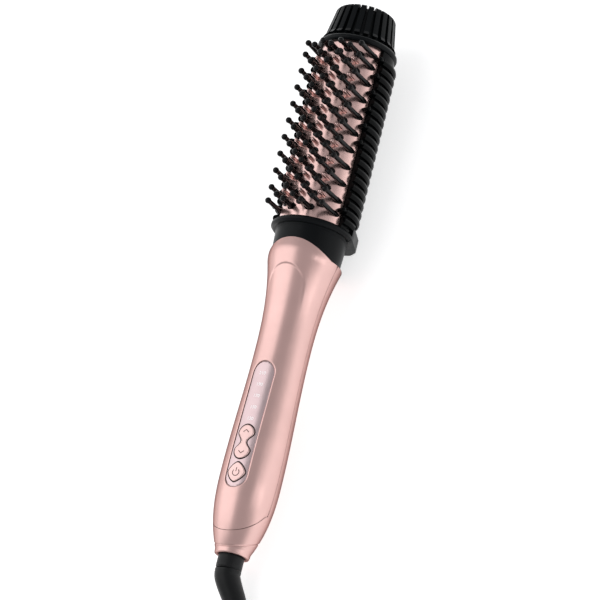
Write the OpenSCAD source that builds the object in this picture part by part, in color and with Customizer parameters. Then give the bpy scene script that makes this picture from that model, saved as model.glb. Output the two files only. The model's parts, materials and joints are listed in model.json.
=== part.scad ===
// Heated straightening brush for hair, lying on its back with the teeth up.
// Inside the part modules, Y runs along the brush from the tail rim to the tip, Z points out
// through the teeth and X to the right. rest() then tilts the brush onto its foot and its belly.
// Angles round the brush are counted from the teeth (Z) towards +X.

/* [Handle] */
// Length of the handle, from the tail rim to the lip
handle_l = 173.5; // [165:0.5:185]
// Radius of the tail rim
tail_r = 9.7; // [9.2:0.1:11]
// Length of the straight tail ring
tail_ring_l = 3; // [2:0.5:4]
// Largest radius of the belly, behind the buttons
belly_r = 17.3; // [16.5:0.1:19]
// Distance of the belly from the tail rim
belly_a = 45; // [42:0.5:48]
// Smallest radius of the neck
neck_r = 15.4; // [15:0.1:16]
// Distance of the neck from the tail rim
neck_a = 120; // [118:0.5:126]
// Radius of the lip at the end of the handle
lip_r = 21.65; // [21:0.05:23]
// How sharply the tail opens out, 1 is a straight cone
tail_flare = 2.5; // [2:0.1:3]
// How late the neck opens out to the lip, 1 is a straight cone
lip_flare = 2.4; // [2:0.1:3]
// Wall of both handle shells
shell_wall = 1.8; // [1.5:0.1:2.2]
// Gap of the seam between the shells
seam = 0.25; // [0.2:0.05:0.4]
// Distance of the front shell's round end from the tail rim
seam_a = 11; // [10:0.5:13]
// Length over which the front shell's round end widens
seam_bow = 35; // [30:1:40]
// How far the tongue stands out of the lip
tongue_rise = 8.5; // [7:0.5:9.5]
// Half width of the tongue where it leaves the lip
tongue_half = 18.6; // [17:0.1:20]
// Outer radius of the tongue at its edge
tongue_r = 20.1; // [20:0.05:20.6]
// Depth of the thumb recess
thumb_depth = 0.5; // [0.3:0.1:0.8]
// Distance of the thumb recess's round end from the lip
thumb_in = 6.5; // [5:0.5:9]

/* [Panel and buttons] */
// Distance of the panel's tail end from the tail rim
panel_a = 35; // [33:0.5:37]
// Length of the panel
panel_l = 74; // [70:1:78]
// Width of the panel
panel_w = 13.4; // [13:0.1:14]
// How deep the panel lies below the shell
panel_sunk = 0.45; // [0.3:0.05:0.7]
// Thickness of the panel
panel_t = 1.6; // [1.4:0.1:1.8]
// Gap round the panel
panel_gap = 0.15; // [0.1:0.05:0.2]
// Distance of the rocker's pivot from the tail rim
rocker_a = 61; // [60.5:0.1:62]
// Distance of each rocker lobe from the pivot
rocker_lobe = 5.2; // [5:0.1:5.4]
// Half width of a rocker lobe
rocker_half = 4.7; // [4.5:0.1:4.8]
// Half width of the rocker's waist
rocker_waist = 1.7; // [1.6:0.1:1.9]
// Radius of the rocker's trunnion
trunnion_r = 0.9; // [0.8:0.05:1]
// Distance of the power button from the tail rim
power_a = 43.3; // [42.8:0.1:44]
// Half width of the power button
power_half = 5.3; // [5:0.1:5.5]
// Gap round the buttons
button_gap = 0.35; // [0.3:0.05:0.45]
// How far the buttons stand out of the handle's surface
button_proud = 0.05; // [0:0.05:0.2]
// Depth of the buttons, from the surface to the underside
button_t = 2.6; // [2.4:0.1:3]
// Free travel between a plunger and the pad under it
plunger_gap = 0.7; // [0.65:0.05:0.8]

/* [Collar and foot] */
// Length of the collar, from the lip to the barrel
collar_l = 20.8; // [20:0.2:23]
// Radius of the collar next to the lip
collar_r = 19.9; // [19.8:0.05:20.2]
// Radius of the collar next to its flange
collar_top_r = 20.6; // [20.3:0.05:21]
// Radius of the flange
flange_r = 23.9; // [23:0.1:24.4]
// Thickness of the flange
flange_t = 3.8; // [3.2:0.1:4.2]
// Distance from the axis to the foot's flat face
foot_drop = 25.2; // [25:0.1:26]
// Length of the foot along the brush
foot_l = 10; // [9:0.5:12]
// Half width of the foot's flat face
foot_half = 11; // [10:0.5:12]
// Radius of the foot's corners
foot_corner = 7; // [6:0.5:8]

/* [Barrel] */
// Length of the barrel, between the collar and the tip cap
barrel_l = 110; // [105:0.5:115]
// Radius of the heated plate
plate_r = 20.3; // [20.1:0.05:20.5]
// Thickness of the heated plate and of the cover behind it
plate_t = 1.8; // [1.6:0.1:2]
// Angle from the middle of the plate to its edge
plate_half_angle = 71.5; // [70:0.5:73]
// Distance from one rib, or row, to the next
row_pitch = 5.21; // [5.1:0.01:5.4]
// Distance of the first rib from the collar
rib_margin = 4.2; // [4:0.1:5]
// Radius of the cover between its ribs
cover_r = 22.3; // [22:0.1:22.6]
// Radius of the cover at its ribs
rib_r = 24.8; // [24.4:0.1:25]
// Width of a rib at its foot
rib_w = 4.2; // [3.8:0.1:4.6]
// How far every other rib reaches over the plate, in degrees
rib_reach = 7; // [6:0.5:8]
// Radius of the nub that ends such a rib
nub_r = 1.3; // [1.2:0.05:1.5]

/* [Teeth and pins] */
// Columns of teeth across the plate
columns = 7; // [7]
// Distance between the columns
column_pitch = 5.77; // [5.6:0.01:5.8]
// Height of the middle column's balls over the axis
tooth_reach = 30.4; // [29:0.1:32]
// How much lower the outermost balls are
tooth_fall = 3.96; // [3.5:0.02:4.5]
// Radius of a tooth's ball
ball_r = 1.65; // [1.5:0.05:1.75]
// Radius of a tooth below its ball
tooth_top_r = 1.05; // [0.9:0.05:1.15]
// Radius of a tooth at its root
tooth_root_r = 1.35; // [1.25:0.05:1.45]
// Length of a tooth's slot, across the brush
slot_l = 6; // [5.6:0.1:6.2]
// Width of a tooth's slot, along the brush
slot_w = 3.8; // [3.6:0.1:4]
// Gap round a tooth's root in its slot
slot_gap = 0.15; // [0.1:0.05:0.2]
// How far a root stands out of the plate
root_proud = 0.6; // [0.4:0.1:0.8]
// Distance of the end rows of teeth from the tip cap
end_row_tip = 4.7; // [4.4:0.1:5]
// Distance of the end rows of teeth from the collar
end_row_tail = 6.4; // [5.8:0.1:6.6]
// Height of the middle heated pins over the axis
pin_reach = 25.1; // [24.5:0.1:26]
// How much lower the outer heated pins are
pin_fall = 1.5; // [1:0.1:2]
// Radius of a heated pin
pin_r = 1.15; // [1:0.05:1.25]

/* [Tip cap] */
// Length of the tip cap
cap_l = 25.7; // [24.5:0.1:28]
// Radius of the tip cap's flange
cap_flange_r = 23.3; // [23:0.1:24]
// Length of the flange's rounded band
cap_flange_l = 4; // [3.6:0.1:4.4]
// Radius round the fins at their foot
fin_r = 20.2; // [19.8:0.1:20.6]
// Radius round the fins at the crown
crown_r = 17.8; // [17.4:0.1:18.4]
// Number of fins
fins = 24; // [20:2:28]
// Width of a fin
fin_w = 3; // [2.6:0.1:3.2]
// Depth of the grooves between the fins
fin_deep = 1.9; // [1.5:0.1:2.2]
// Depth of the hollow in the crown
crown_hollow = 2.6; // [2:0.1:3.2]

/* [Inside] */
// Radius of the frame's tube, inside the collar
tube_r = 16; // [15.9:0.05:16.1]
// Wall of the frame's tube
tube_wall = 2; // [1.8:0.1:2.4]
// Thickness of the frame's tray
tray_t = 2; // [1.8:0.1:2.2]
// Thickness of both circuit boards
board_t = 1.6; // [1.4:0.1:1.8]
// Length of both circuit boards
board_l = 80; // [78:1:82]
// Radius of the screws' shanks
screw_r = 1.5; // [1.4:0.05:1.6]
// Radius of the screws' heads
head_r = 2.7; // [2.6:0.05:2.8]
// Width of a ceramic heater
heater_w = 20; // [18:0.5:20]
// Thickness of a ceramic heater
heater_t = 3; // [2.6:0.1:3.2]
// Clearance between inner pieces that only rest on each other
rest_gap = 0.3; // [0.25:0.05:0.35]

/* [Cord] */
// How far the swivel sleeve stands out of the tail rim
sleeve_out = 7.5; // [6.5:0.5:8.5]
// Radius of the swivel sleeve
sleeve_r = 7.25; // [7:0.05:7.4]
// Radius of the swivel's shaft
swivel_r = 4.5; // [4.2:0.1:4.8]
// Radial clearance of the running fits
running = 0.05; // [0.03:0.01:0.08]
// Diameter of the mains lead
cord_d = 6.5; // [6:0.1:6.8]
// Radius of the hank's innermost fold
fold_r = 19.5; // [19.5:0.1:20.5]
// Length of the hank's straight runs
hank_run = 130; // [125:1:130]
// Distance between loops that lie side by side
hank_pitch = 7.1; // [7:0.1:7.4]
// Height from one layer of the hank to the next
hank_step = 7; // [6.9:0.1:7.2]
// How far the tie draws the hank in at its waist
waist_in = 5; // [3:0.5:6]
// Thickness of the strap that ties the hank
tie_t = 0.8; // [0.6:0.1:1]
// Width of the strap that ties the hank
tie_w = 12; // [8:0.5:14]
// Length of the plug's body
plug_l = 30; // [26:1:36]
// Width of the plug's body
plug_w = 26; // [24:1:30]
// Thickness of the plug's body
plug_h = 14; // [13:0.5:18]
// Length of the plug's blades
blade_l = 17; // [16:0.5:18]
// Distance between the plug's blades
blade_pitch = 12.7; // [12.7]

/* [Hidden] */
$fn = 64;
eps = 0.01;
rose = [0.80, 0.62, 0.59];
coal = [0.10, 0.11, 0.12];

// ---- places along the brush, from the tail rim
lip_a = handle_l;
tongue_a = handle_l + tongue_rise;
barrel_a = handle_l + collar_l;
cap_a = barrel_a + barrel_l;
total_l = cap_a + cap_l;
flange_a = barrel_a - flange_t;
foot_a = barrel_a + 5.8 - foot_l / 2;
spigot_l = 5;
cap_spigot_l = 3.1;

// ---- the handle's outline
bore_a = 7.6;
function tail_part(a) = pow(max(0, 1 - (a - tail_ring_l) / (belly_a - tail_ring_l)), tail_flare);
function neck_part(a) = (1 + cos(180 * (a - belly_a) / (neck_a - belly_a))) / 2;
function lip_part(a) = pow((a - neck_a) / (lip_a - neck_a), lip_flare);
function handle_r(a) = a < tail_ring_l ? tail_r + 0.1 * a
    : a < belly_a ? belly_r - (belly_r - tail_r - 0.1 * tail_ring_l) * tail_part(a)
    : a < neck_a ? neck_r + (belly_r - neck_r) * neck_part(a)
    : neck_r + (lip_r - neck_r) * lip_part(a);
function wall_points(from, to, inset, step = 3.5) =
    let (n = ceil((to - from) / step))
    [for (i = [0 : n]) let (a = from + (to - from) * i / n) [handle_r(a) - inset, a]];
function reversed(list) = [for (i = [len(list) - 1 : -1 : 0]) list[i]];

// ---- how it lies: the foot's flat face and the belly touch the table
touch_a = belly_a - 5;
foot_mid_a = foot_a;
rest_tilt = atan((foot_drop - handle_r(touch_a)) / (foot_mid_a - touch_a));
middle_a = (total_l - sleeve_out) / 2;
axis_h = foot_drop * cos(rest_tilt) - (foot_mid_a - middle_a) * sin(rest_tilt);
ends_differ = (crown_r - sleeve_r) * sin(rest_tilt) / 2;
big = 400;

// Lays the brush down on its foot
module rest()
    translate([0, -ends_differ, axis_h]) rotate([rest_tilt, 0, 0]) translate([0, -middle_a, 0]) children();

// Everything above the table
module above_table()
    intersection() {
        children();
        translate([-big, -big, 0]) cube(2 * big);
    }

// Turns a profile of [radius, distance] about the brush's axis
module around(from = 0, sweep = 360)
    rotate([-90, 0, 0]) rotate([0, 0, from - 90]) rotate_extrude(angle = sweep, $fn = 96) children();

// A tube round the axis
module tube(a, l, r_out, r_in = 0)
    around() translate([r_in, a]) square([r_out - r_in, l]);

// A plan, drawn in X and Y, raised from one height to another
module raised(z0, z1)
    translate([0, 0, z0]) linear_extrude(z1 - z0) children();

// A box that is centred across the brush
module slab(half_w, a, l, z0, z1)
    translate([-half_w, a, z0]) cube([2 * half_w, l, z1 - z0]);

// A cylinder that points out of the brush, towards the teeth
module post(x, a, z0, z1, r)
    translate([x, a, z0]) cylinder(r = r, h = z1 - z0, $fn = 32);

// A cylinder along the brush
module rod(x, z, a, l, r)
    translate([x, a, z]) rotate([-90, 0, 0]) cylinder(r = r, h = l, $fn = 32);

// ---- handle shells
// Plan of the front shell: the round tail end, the sides and the tongue
bow_n = 2.5;
bow_half = belly_r + 0.05;
wide = lip_r + 8;
function bow_a(x) = seam_a + seam_bow * (1 - pow(max(0, 1 - pow(abs(x) / bow_half, bow_n)), 1 / bow_n));
function tongue_y(x) =
    let (r = (tongue_half * tongue_half + tongue_rise * tongue_rise) / (2 * tongue_rise))
    lip_a + tongue_rise - r + sqrt(r * r - x * x);
bow_points = let (n = 28) [for (i = [0 : n]) let (x = bow_half * sin(-90 + 180 * i / n)) [x, bow_a(x)]];
tongue_points = let (n = 24) [for (i = [0 : n]) let (x = tongue_half * (1 - 2 * i / n)) [x, tongue_y(x)]];

module front_plan()
    polygon(concat(bow_points, [[wide, belly_a + 8], [wide, lip_a]],
        tongue_points, [[-wide, lip_a], [-wide, belly_a + 8]]));

// Rounded plan of the panel
module panel_plan(grow = 0) {
    r = panel_w / 2 + grow;
    translate([-r, panel_a + panel_w / 2]) square([2 * r, panel_l - panel_w]);
    translate([0, panel_a + panel_w / 2]) circle(r);
    translate([0, panel_a + panel_l - panel_w / 2]) circle(r);
}

// Inside of both shells: clear of the collar's neck at the lip end
collar_neck_r = min(tube_r + 2.1, tongue_r - 0.6);
neck_start_a = lip_a - 4.5;
module shell_body(tongue = false) {
    outer = concat(wall_points(0, lip_a - eps, 0), [[lip_r, lip_a]],
        tongue ? [[tongue_r, tongue_a]] : []);
    bore_r = sleeve_r + 0.4;
    top = tongue ? tongue_a : lip_a;
    inner = concat([[bore_r, 0], [bore_r, bore_a]], wall_points(bore_a, neck_start_a, shell_wall),
        [[collar_neck_r + 0.2, neck_start_a + 1], [collar_neck_r + 0.2, top]]);
    around() polygon(concat(outer, reversed(inner)));
}

// Shallow recess for the thumb, with a round end under the tongue
thumb_half = 12;
thumb_l = 34;
module thumb_recess() {
    end_a = lip_a - thumb_in - thumb_half;
    outer = wall_points(end_a - thumb_l, lip_a - thumb_in, 0, 4);
    cut = [for (p = outer) [p[0] - thumb_depth * (p[1] - outer[0][1]) / (thumb_l + thumb_half), p[1]]];
    lid = [for (p = outer) [p[0] + 3, p[1]]];
    intersection() {
        around(-60, 120) polygon(concat(lid, reversed(cut)));
        raised(0, 40) {
            translate([0, end_a]) circle(thumb_half);
            translate([-thumb_half, end_a - thumb_l]) square([2 * thumb_half, thumb_l]);
        }
    }
}

module front_shell()
    color(rose) rest() difference() {
        intersection() {
            shell_body(tongue = true);
            raised(0, 40) front_plan();
        }
        raised(0, 40) panel_plan(panel_gap);
        thumb_recess();
    }

screw_places = [30.5, 128];
tray_z = -1.2;
boss_r = screw_r + 2;
head_deep = 2.2;
module rear_shell()
    color(rose) above_table() rest() difference() {
        union() {
            difference() {
                shell_body();
                raised(-seam, 40) offset(delta = seam) front_plan();
            }
            for (a = screw_places)
                post(0, a, -handle_r(a) + shell_wall / 2, tray_z - rest_gap, boss_r);
        }
        for (a = screw_places) {
            post(0, a, -handle_r(a) - 1, 0, screw_r + 0.15);
            post(0, a, -handle_r(a) - 1, -handle_r(a) + head_deep, head_r + 0.2);
        }
        tail_crease();
    }

// Fine groove round the tail ring, slanting towards the belly
crease_front_a = 3.6;
crease_slant = 22;
crease_deep = 0.3;
module tail_crease()
    difference() {
        translate([0, crease_front_a, tail_r]) rotate([crease_slant, 0, 0])
            translate([-20, 0, -40]) cube([40, 0.4, 60]);
        around() polygon(concat([[0, -2]], wall_points(-1, 40, crease_deep), [[0, 40]]));
    }

module shell_screws()
    color("silver") rest()
        for (a = screw_places) {
            head_z = -handle_r(a) + head_deep;
            post(0, a, head_z - 1.8, head_z, head_r);
            post(0, a, head_z - eps, tray_z + tray_t - 0.4, screw_r);
        }

// ---- panel and buttons
// A curved plate that follows the handle's surface, between two depths under it
module skin(from_a, to_a, proud, sunk)
    around(-50, 100) polygon(concat(wall_points(from_a, to_a, -proud, 4),
        reversed(wall_points(from_a, to_a, sunk, 4))));

// Plan of the hourglass rocker: two lobes joined by a waist with hollow sides
function lobe_w(t) = rocker_waist + (rocker_half - rocker_waist) * (1 - cos(180 * t)) / 2;
module rocker_plan(grow = 0) {
    lobe_l = rocker_lobe + rocker_half;
    side = [for (i = [-10 : 10]) let (t = abs(i) / 10) [lobe_w(t) + grow, rocker_lobe * i / 10]];
    end_l = lobe_l - rocker_lobe;
    cap = [for (i = [1 : 9]) let (q = 10 * i)
        [(rocker_half + grow) * pow(cos(q), 1.15), rocker_lobe + (end_l + grow) * sin(q)]];
    right = concat([for (p = reversed(cap)) [p[0], -p[1]]], side, cap);
    translate([0, rocker_a]) polygon(concat([[0, -lobe_l - grow]], right, [[0, lobe_l + grow]],
        [for (p = reversed(right)) [-p[0], p[1]]]));
}

// Plan of the power button: a square on its corner, well rounded
module power_plan(grow = 0) {
    n = 1.45;
    translate([0, power_a]) polygon([for (q = [0 : 7.5 : 359])
        let (c = cos(q), s = sin(q), r = pow(pow(abs(c), n) + pow(abs(s), n), -1 / n))
        [(power_half + grow) * r * c, (power_half + 0.3 + grow) * r * s]]);
}

pivot_z = handle_r(rocker_a) - button_t - 1.6;
ear_w = 1.5;
ear_x = 2.6;
ear_drop = 1.5;
panel_under = panel_sunk + panel_t;
module control_panel()
    color(rose) rest() difference() {
        union() {
            intersection() {
                skin(panel_a - 1, panel_a + panel_l + 1, -panel_sunk, panel_under);
                raised(0, 40) panel_plan();
            }
            for (side = [-1, 1])
                translate([side * (ear_x + ear_w / 2) - ear_w / 2, rocker_a - 2, pivot_z - ear_drop])
                    cube([ear_w, 4, handle_r(rocker_a) - panel_under - pivot_z + ear_drop + 0.5]);
        }
        raised(pivot_z + trunnion_r + button_gap, 40) rocker_plan(button_gap);
        raised(0, 40) power_plan(button_gap);
        translate([-ear_x - ear_w - 1, rocker_a, pivot_z]) rotate([0, 90, 0])
            cylinder(r = trunnion_r + running, h = 2 * (ear_x + ear_w + 1), $fn = 32);
    }

pad_z = 10.4;
pad_half = 2.3;
pad_t = 1;
plunger_r = 1.2;
module temp_rocker()
    color(rose) rest() {
        intersection() {
            skin(rocker_a - 12, rocker_a + 12, button_proud, button_t);
            raised(0, 40) rocker_plan();
        }
        slab(rocker_waist - 0.3, rocker_a - 1.2, 2.4, pivot_z, handle_r(rocker_a) - button_t + 0.2);
        translate([-ear_x - ear_w, rocker_a, pivot_z]) rotate([0, 90, 0])
            cylinder(r = trunnion_r, h = 2 * (ear_x + ear_w), $fn = 32);
        for (side = [-1, 1])
            post(0, rocker_a + side * rocker_lobe, pad_z + pad_t + plunger_gap,
                handle_r(rocker_a) - button_t + 0.4, plunger_r);
    }

module power_button()
    color(rose) rest() {
        intersection() {
            skin(power_a - 7, power_a + 8, button_proud, button_t);
            raised(0, 40) power_plan();
        }
        post(0, power_a, pad_z + pad_t + plunger_gap, handle_r(power_a) - button_t + 0.4, plunger_r);
    }

// ---- electronics in the handle
board_z = 5.4;
board_a = panel_a;
board_half = 9;
label_pitch = 6.8;
label_a = 74.6;
labels = 5;
switch_h = 2.5;
switch_places = [power_a, rocker_a - rocker_lobe, rocker_a + rocker_lobe];
module control_board()
    color("darkgreen") rest() {
        slab(board_half, board_a, board_l, board_z, board_z + board_t);
        for (x = [-1, 1], a = [board_a + 3, board_a + board_l - 3])
            post(x * (board_half - 2), a, tray_z + tray_t, board_z + eps, 1.2);
    }

module tact_switches()
    color("dimgray") rest()
        for (a = switch_places) {
            slab(3, a - 2.5, 5, board_z + board_t, board_z + board_t + switch_h);
            post(0, a, board_z + board_t + switch_h - eps, pad_z - rest_gap, 1.5);
        }

module button_pad()
    color("gainsboro") rest() {
        slab(pad_half, power_a - 5, rocker_a + rocker_lobe - power_a + 8, pad_z, pad_z + pad_t);
    }

led_h = 1.2;
module indicator_leds()
    color("ivory") rest()
        for (i = [0 : labels - 1])
            slab(1, label_a + i * label_pitch - 1, 2, board_z + board_t, board_z + board_t + led_h);

module light_guide()
    color([0.9, 0.9, 0.9, 0.5]) rest() {
        guide_z = board_z + board_t + led_h + rest_gap;
        slab(2.2, label_a - 3, (labels - 1) * label_pitch + 6, guide_z, pad_z);
        for (i = [0 : labels - 1]) {
            a = label_a + i * label_pitch;
            post(0, a, pad_z - eps, handle_r(a) - panel_under - rest_gap, 1.6);
        }
    }

mains_z = -7.6;
module power_board()
    color("darkgreen") rest() {
        slab(board_half, board_a, board_l, mains_z, mains_z + board_t);
        for (x = [-1, 1], a = [board_a + 3, board_a + board_l - 3])
            post(x * (board_half - 2), a, mains_z + board_t - eps, tray_z, 1.2);
    }

module power_components()
    color("royalblue") rest() {
        slab(6, board_a + 8, 18, mains_z - 4.4, mains_z);
        rod(0, mains_z - 3, board_a + 30, 16, 3);
        slab(4, board_a + 50, 10, mains_z - 3.2, mains_z);
        rod(-5, mains_z - 1.6, board_a + 64, 12, 1.6);
        rod(5, mains_z - 1.6, board_a + 64, 12, 1.6);
    }

// ---- frame from the tail to the tip
frame_a = 27;
// The tube starts where the handle is wide enough for it
tube_a = neck_a + (lip_a - neck_a) * pow((tube_r + shell_wall + 0.4 - neck_r) / (lip_r - neck_r), 1 / lip_flare);
bulkhead_a = barrel_a + 1.8;
bulkhead_t = 2;
tray_half = neck_r - shell_wall - 0.3;
beam_half = 7;
beam_z = -12;
beam_t = 6;
cap_boss_a = cap_a - 6;
boss_t = 3;
wire_z = 2.4;
wire_x = 6;
wire_r = 0.9;
module inner_frame()
    color("dimgray") rest() difference() {
        union() {
            slab(tray_half, frame_a, tube_a - frame_a + 1, tray_z, tray_z + tray_t);
            tube(tube_a, bulkhead_a + bulkhead_t - tube_a, tube_r, tube_r - tube_wall);
            slab(tube_r - tube_wall / 2, tube_a + 1, 4, tray_z, tray_z + tray_t);
            tube(bulkhead_a, bulkhead_t, tube_r);
            slab(beam_half, bulkhead_a + eps, cap_boss_a - bulkhead_a, beam_z, beam_z + beam_t);
            tube(cap_boss_a, boss_t, min(tube_r - 1, inner_r - strip_t - 0.8));
        }
        for (x = [-1, 1])
            rod(x * wire_x, wire_z, bulkhead_a - 1, 4, wire_r + 0.4);
        for (a = screw_places)
            post(0, a, tray_z - 2, tray_z + tray_t + 1, screw_r + running);
        rod(0, 0, cap_boss_a - 1, boss_t + 2, screw_r + running);
    }

block_a = tube_a - 14;
block_l = 12;
module terminal_block()
    color("white") rest()
        slab(board_half, block_a, block_l, tray_z + tray_t, wire_z + wire_r + 1.5);

heater_a = barrel_a + 14;
heater_l = 38;
heater_step = heater_l + 3;
module lead_wires()
    color("firebrick") rest()
        for (x = [-1, 1])
            rod(x * wire_x, wire_z, block_a + block_l, heater_a - block_a - block_l, wire_r);

// ---- collar with the flange and the foot
module foot_plan(inset = 0) {
    hull() {
        translate([0, 0]) circle(flange_r - inset, $fn = 64);
        for (x = [-1, 1])
            translate([x * foot_half, -foot_drop + foot_corner - 1]) circle(foot_corner - inset, $fn = 32);
    }
}

foot_edge = 1.5;
// The foot hangs over the end of the rib cover, below this depth and outside this radius
foot_top = 4;
foot_in_r = plate_r + 0.4;
module foot()
    translate([0, foot_a, 0]) rotate([90, 0, 0]) hull() {
        translate([0, 0, -foot_l / 2]) linear_extrude(foot_l) foot_plan(foot_edge);
        translate([0, 0, -foot_l / 2 + foot_edge]) linear_extrude(foot_l - 2 * foot_edge) foot_plan();
    }

module collar() {
    edge = flange_t / 3;
    bore_in = tube_r + rest_gap;
    color(coal) above_table() rest() difference() {
        union() {
            difference() {
                around() polygon([[collar_neck_r - 1, lip_a + seam], [collar_r, lip_a + seam],
                    [collar_top_r, flange_a - 1.5], [collar_top_r + 0.6, flange_a], [collar_top_r + 0.6, barrel_a],
                    [collar_neck_r - 1, barrel_a]]);
                raised(0, 40) offset(delta = seam) front_plan();
            }
            tube(neck_start_a + 1.5, barrel_a - neck_start_a - 1.5, collar_neck_r, bore_in);
            around() polygon([[bore_in, flange_a], [flange_r - edge, flange_a], [flange_r, flange_a + edge],
                [flange_r, barrel_a - edge], [flange_r - edge, barrel_a], [bore_in, barrel_a]]);
            tube(barrel_a - eps, spigot_l, inner_r - 0.2, bore_in);
            intersection() {
                foot();
                translate([-big / 2, 0, -big]) cube([big, big, big - foot_top]);
            }
        }
        tube(neck_start_a, barrel_a - neck_start_a + spigot_l + 1, bore_in);
        tube(barrel_a, foot_l, foot_in_r, inner_r - 0.2);
        tube(barrel_a + spigot_l, foot_l, foot_in_r);
    }
}

// ---- barrel
end_gap = 0.15;
inner_r = plate_r - plate_t;
// The slots leave a land along the plate's lower edges
edge_land = 0.8;
slot_low = plate_r * cos(plate_half_angle) + edge_land;
tooth_x = [for (k = [0 : columns - 1]) (k - (columns - 1) / 2) * column_pitch];
last_rib = floor((barrel_l - 2 * rib_margin) / row_pitch);
function rib_a(i) = barrel_a + rib_margin + i * row_pitch;
// Rows of the even columns lie between those of the odd ones
even_rows = [for (i = [2 : 2 : last_rib - 1]) rib_a(i)];
odd_rows = [for (i = [1 : 2 : last_rib]) rib_a(i)];
end_rows = [barrel_a + end_row_tail, cap_a - end_row_tip];
function rows(k) = k % 2 == 0 ? concat(even_rows, end_rows) : odd_rows;
function across(k) = 2 * k / (columns - 1) - 1;

middle_column = (columns - 1) / 2;
pin_columns = [for (side = [-2, 0, 2]) middle_column + side];
module heater_plate()
    color(rose) rest() {
        difference() {
            around(-plate_half_angle, 2 * plate_half_angle)
                translate([inner_r, barrel_a + end_gap]) square([plate_t, barrel_l - 2 * end_gap]);
            raised(slot_low, 40) for (k = [0 : columns - 1], a = rows(k)) slot_plan(tooth_x[k], a, 0);
        }
        for (k = pin_columns, a = even_rows)
            heated_pin(tooth_x[k], a, pin_reach - pin_fall * abs(k - middle_column) / 2);
    }

// A blunt pin that stands on the plate
module heated_pin(x, a, top) {
    foot_z = sqrt(pow(plate_r - plate_t / 2, 2) - x * x);
    translate([x, a, foot_z]) rotate_extrude($fn = 24)
        polygon(concat([[0, 0], [pin_r, 0]],
            [for (q = [0 : 15 : 90]) [pin_r * cos(q), top - foot_z - pin_r + pin_r * sin(q)]]));
}

strip_half = 2.35;
strip_t = 2.4;
spreader_z = 4.2;
spreader_lip = 1.5;
strip_low = spreader_z + spreader_lip + rest_gap;
strip_a = barrel_a + spigot_l + 0.4;
strip_l = cap_a - cap_spigot_l - 0.3 - strip_a;
strip_out = inner_r - 0.05;
root_in = strip_out - eps;
// One column of teeth: a strip behind the plate, the roots that fill the slots, and the teeth
module tooth_strip(k)
    color(coal) rest() {
        x = tooth_x[k];
        ball_z = tooth_reach - tooth_fall * pow(across(k), 2);
        foot_z = max(slot_low + 2 * slot_gap, sqrt(root_in * root_in - x * x));
        intersection() {
            tube(strip_a, strip_l, strip_out, inner_r - strip_t);
            translate([x - strip_half, 0, strip_low]) cube([2 * strip_half, big, 40]);
        }
        intersection() {
            tube(strip_a, strip_l, plate_r + root_proud, root_in);
            raised(slot_low + slot_gap, 40) for (a = rows(k)) slot_plan(x, a, -slot_gap);
        }
        for (a = rows(k))
            translate([x, a, foot_z]) {
                cylinder(r1 = tooth_root_r, r2 = tooth_top_r, h = ball_z - foot_z, $fn = 24);
                translate([0, 0, ball_z - foot_z]) sphere(ball_r, $fn = 24);
            }
    }

// Plan of one slot, with round ends; on the plate's steep sides it shortens to a circle
module slot_plan(x, a, grow) {
    reach = slot_l / 2 * cos(asin(x / plate_r));
    w = min(slot_w / 2, reach) + grow;
    half = reach - slot_w / 2;
    if (half > 0) {
        translate([x - half, a - w]) square([2 * half, 2 * w]);
        for (side = [-1, 1])
            translate([x + side * half, a]) circle(w, $fn = 24);
    } else
        translate([x, a]) circle(w, $fn = 24);
}

// Outline of one rib, from its foot to its foot
rib_steps = 6;
function rib_outline(a, base) =
    [for (i = [0 : rib_steps]) let (q = 180 * i / rib_steps)
        [base + (rib_r - base) * pow(sin(q), 0.7), a - rib_w / 2 * cos(q)]];

module rib_cover() {
    from = plate_half_angle + 0.9;
    outer = [for (i = [0 : last_rib]) each rib_outline(rib_a(i), cover_r)];
    bottom = barrel_a + end_gap;
    top = cap_a - end_gap;
    color(coal) rest() {
        difference() {
            around(from, 360 - 2 * from)
                polygon(concat([[inner_r, bottom], [cover_r, bottom]], outer, [[cover_r, top], [inner_r, top]]));
            intersection() {
                tube(bottom - 1, foot_a + foot_l / 2 + rest_gap - bottom + 1, rib_r + 2, foot_in_r - rest_gap);
                translate([-big / 2, 0, -big]) cube([big, big, big - foot_top + rest_gap]);
            }
        }
        for (i = [1 : 2 : last_rib], side = [0, 1])
            mirror([side, 0, 0]) rib_end(rib_a(i), from);
    }
}

// The end of a rib that reaches over the plate and closes with a round nub
module rib_end(a, from) {
    low = plate_r + 0.3;
    around(from - rib_reach, rib_reach + 1) polygon(rib_outline_narrow(a, low));
    turn = from - rib_reach;
    rotate([0, turn, 0]) translate([0, a, low]) cylinder(r = nub_r, h = rib_r - low, $fn = 24);
    rotate([0, turn, 0]) translate([0, a, rib_r]) sphere(nub_r, $fn = 24);
}
function rib_outline_narrow(a, base) =
    [for (i = [0 : rib_steps]) let (q = 180 * i / rib_steps)
        [base + (rib_r - base) * pow(sin(q), 0.7), a - nub_r * cos(q)]];

// ---- heating parts inside the barrel
spreader_a = barrel_a + 12;
spreader_l = barrel_l - 20;
module heat_spreader()
    color("silver") rest() difference() {
        intersection() {
            tube(spreader_a, spreader_l, inner_r - 0.1);
            translate([-big / 2, 0, spreader_z]) cube(big);
        }
        for (x = tooth_x)
            translate([x - strip_half - rest_gap, 0, spreader_z + spreader_lip]) difference() {
                cube([2 * (strip_half + rest_gap), big, 30]);
                translate([-x + strip_half + rest_gap, 0, -spreader_z - spreader_lip])
                    tube(0, big, inner_r - strip_t - rest_gap);
            }
    }

module ptc_heaters()
    color("tan") rest()
        for (i = [0, 1])
            slab(heater_w / 2, heater_a + i * heater_step, heater_l, spreader_z - heater_t - 0.1, spreader_z - 0.1);

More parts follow.
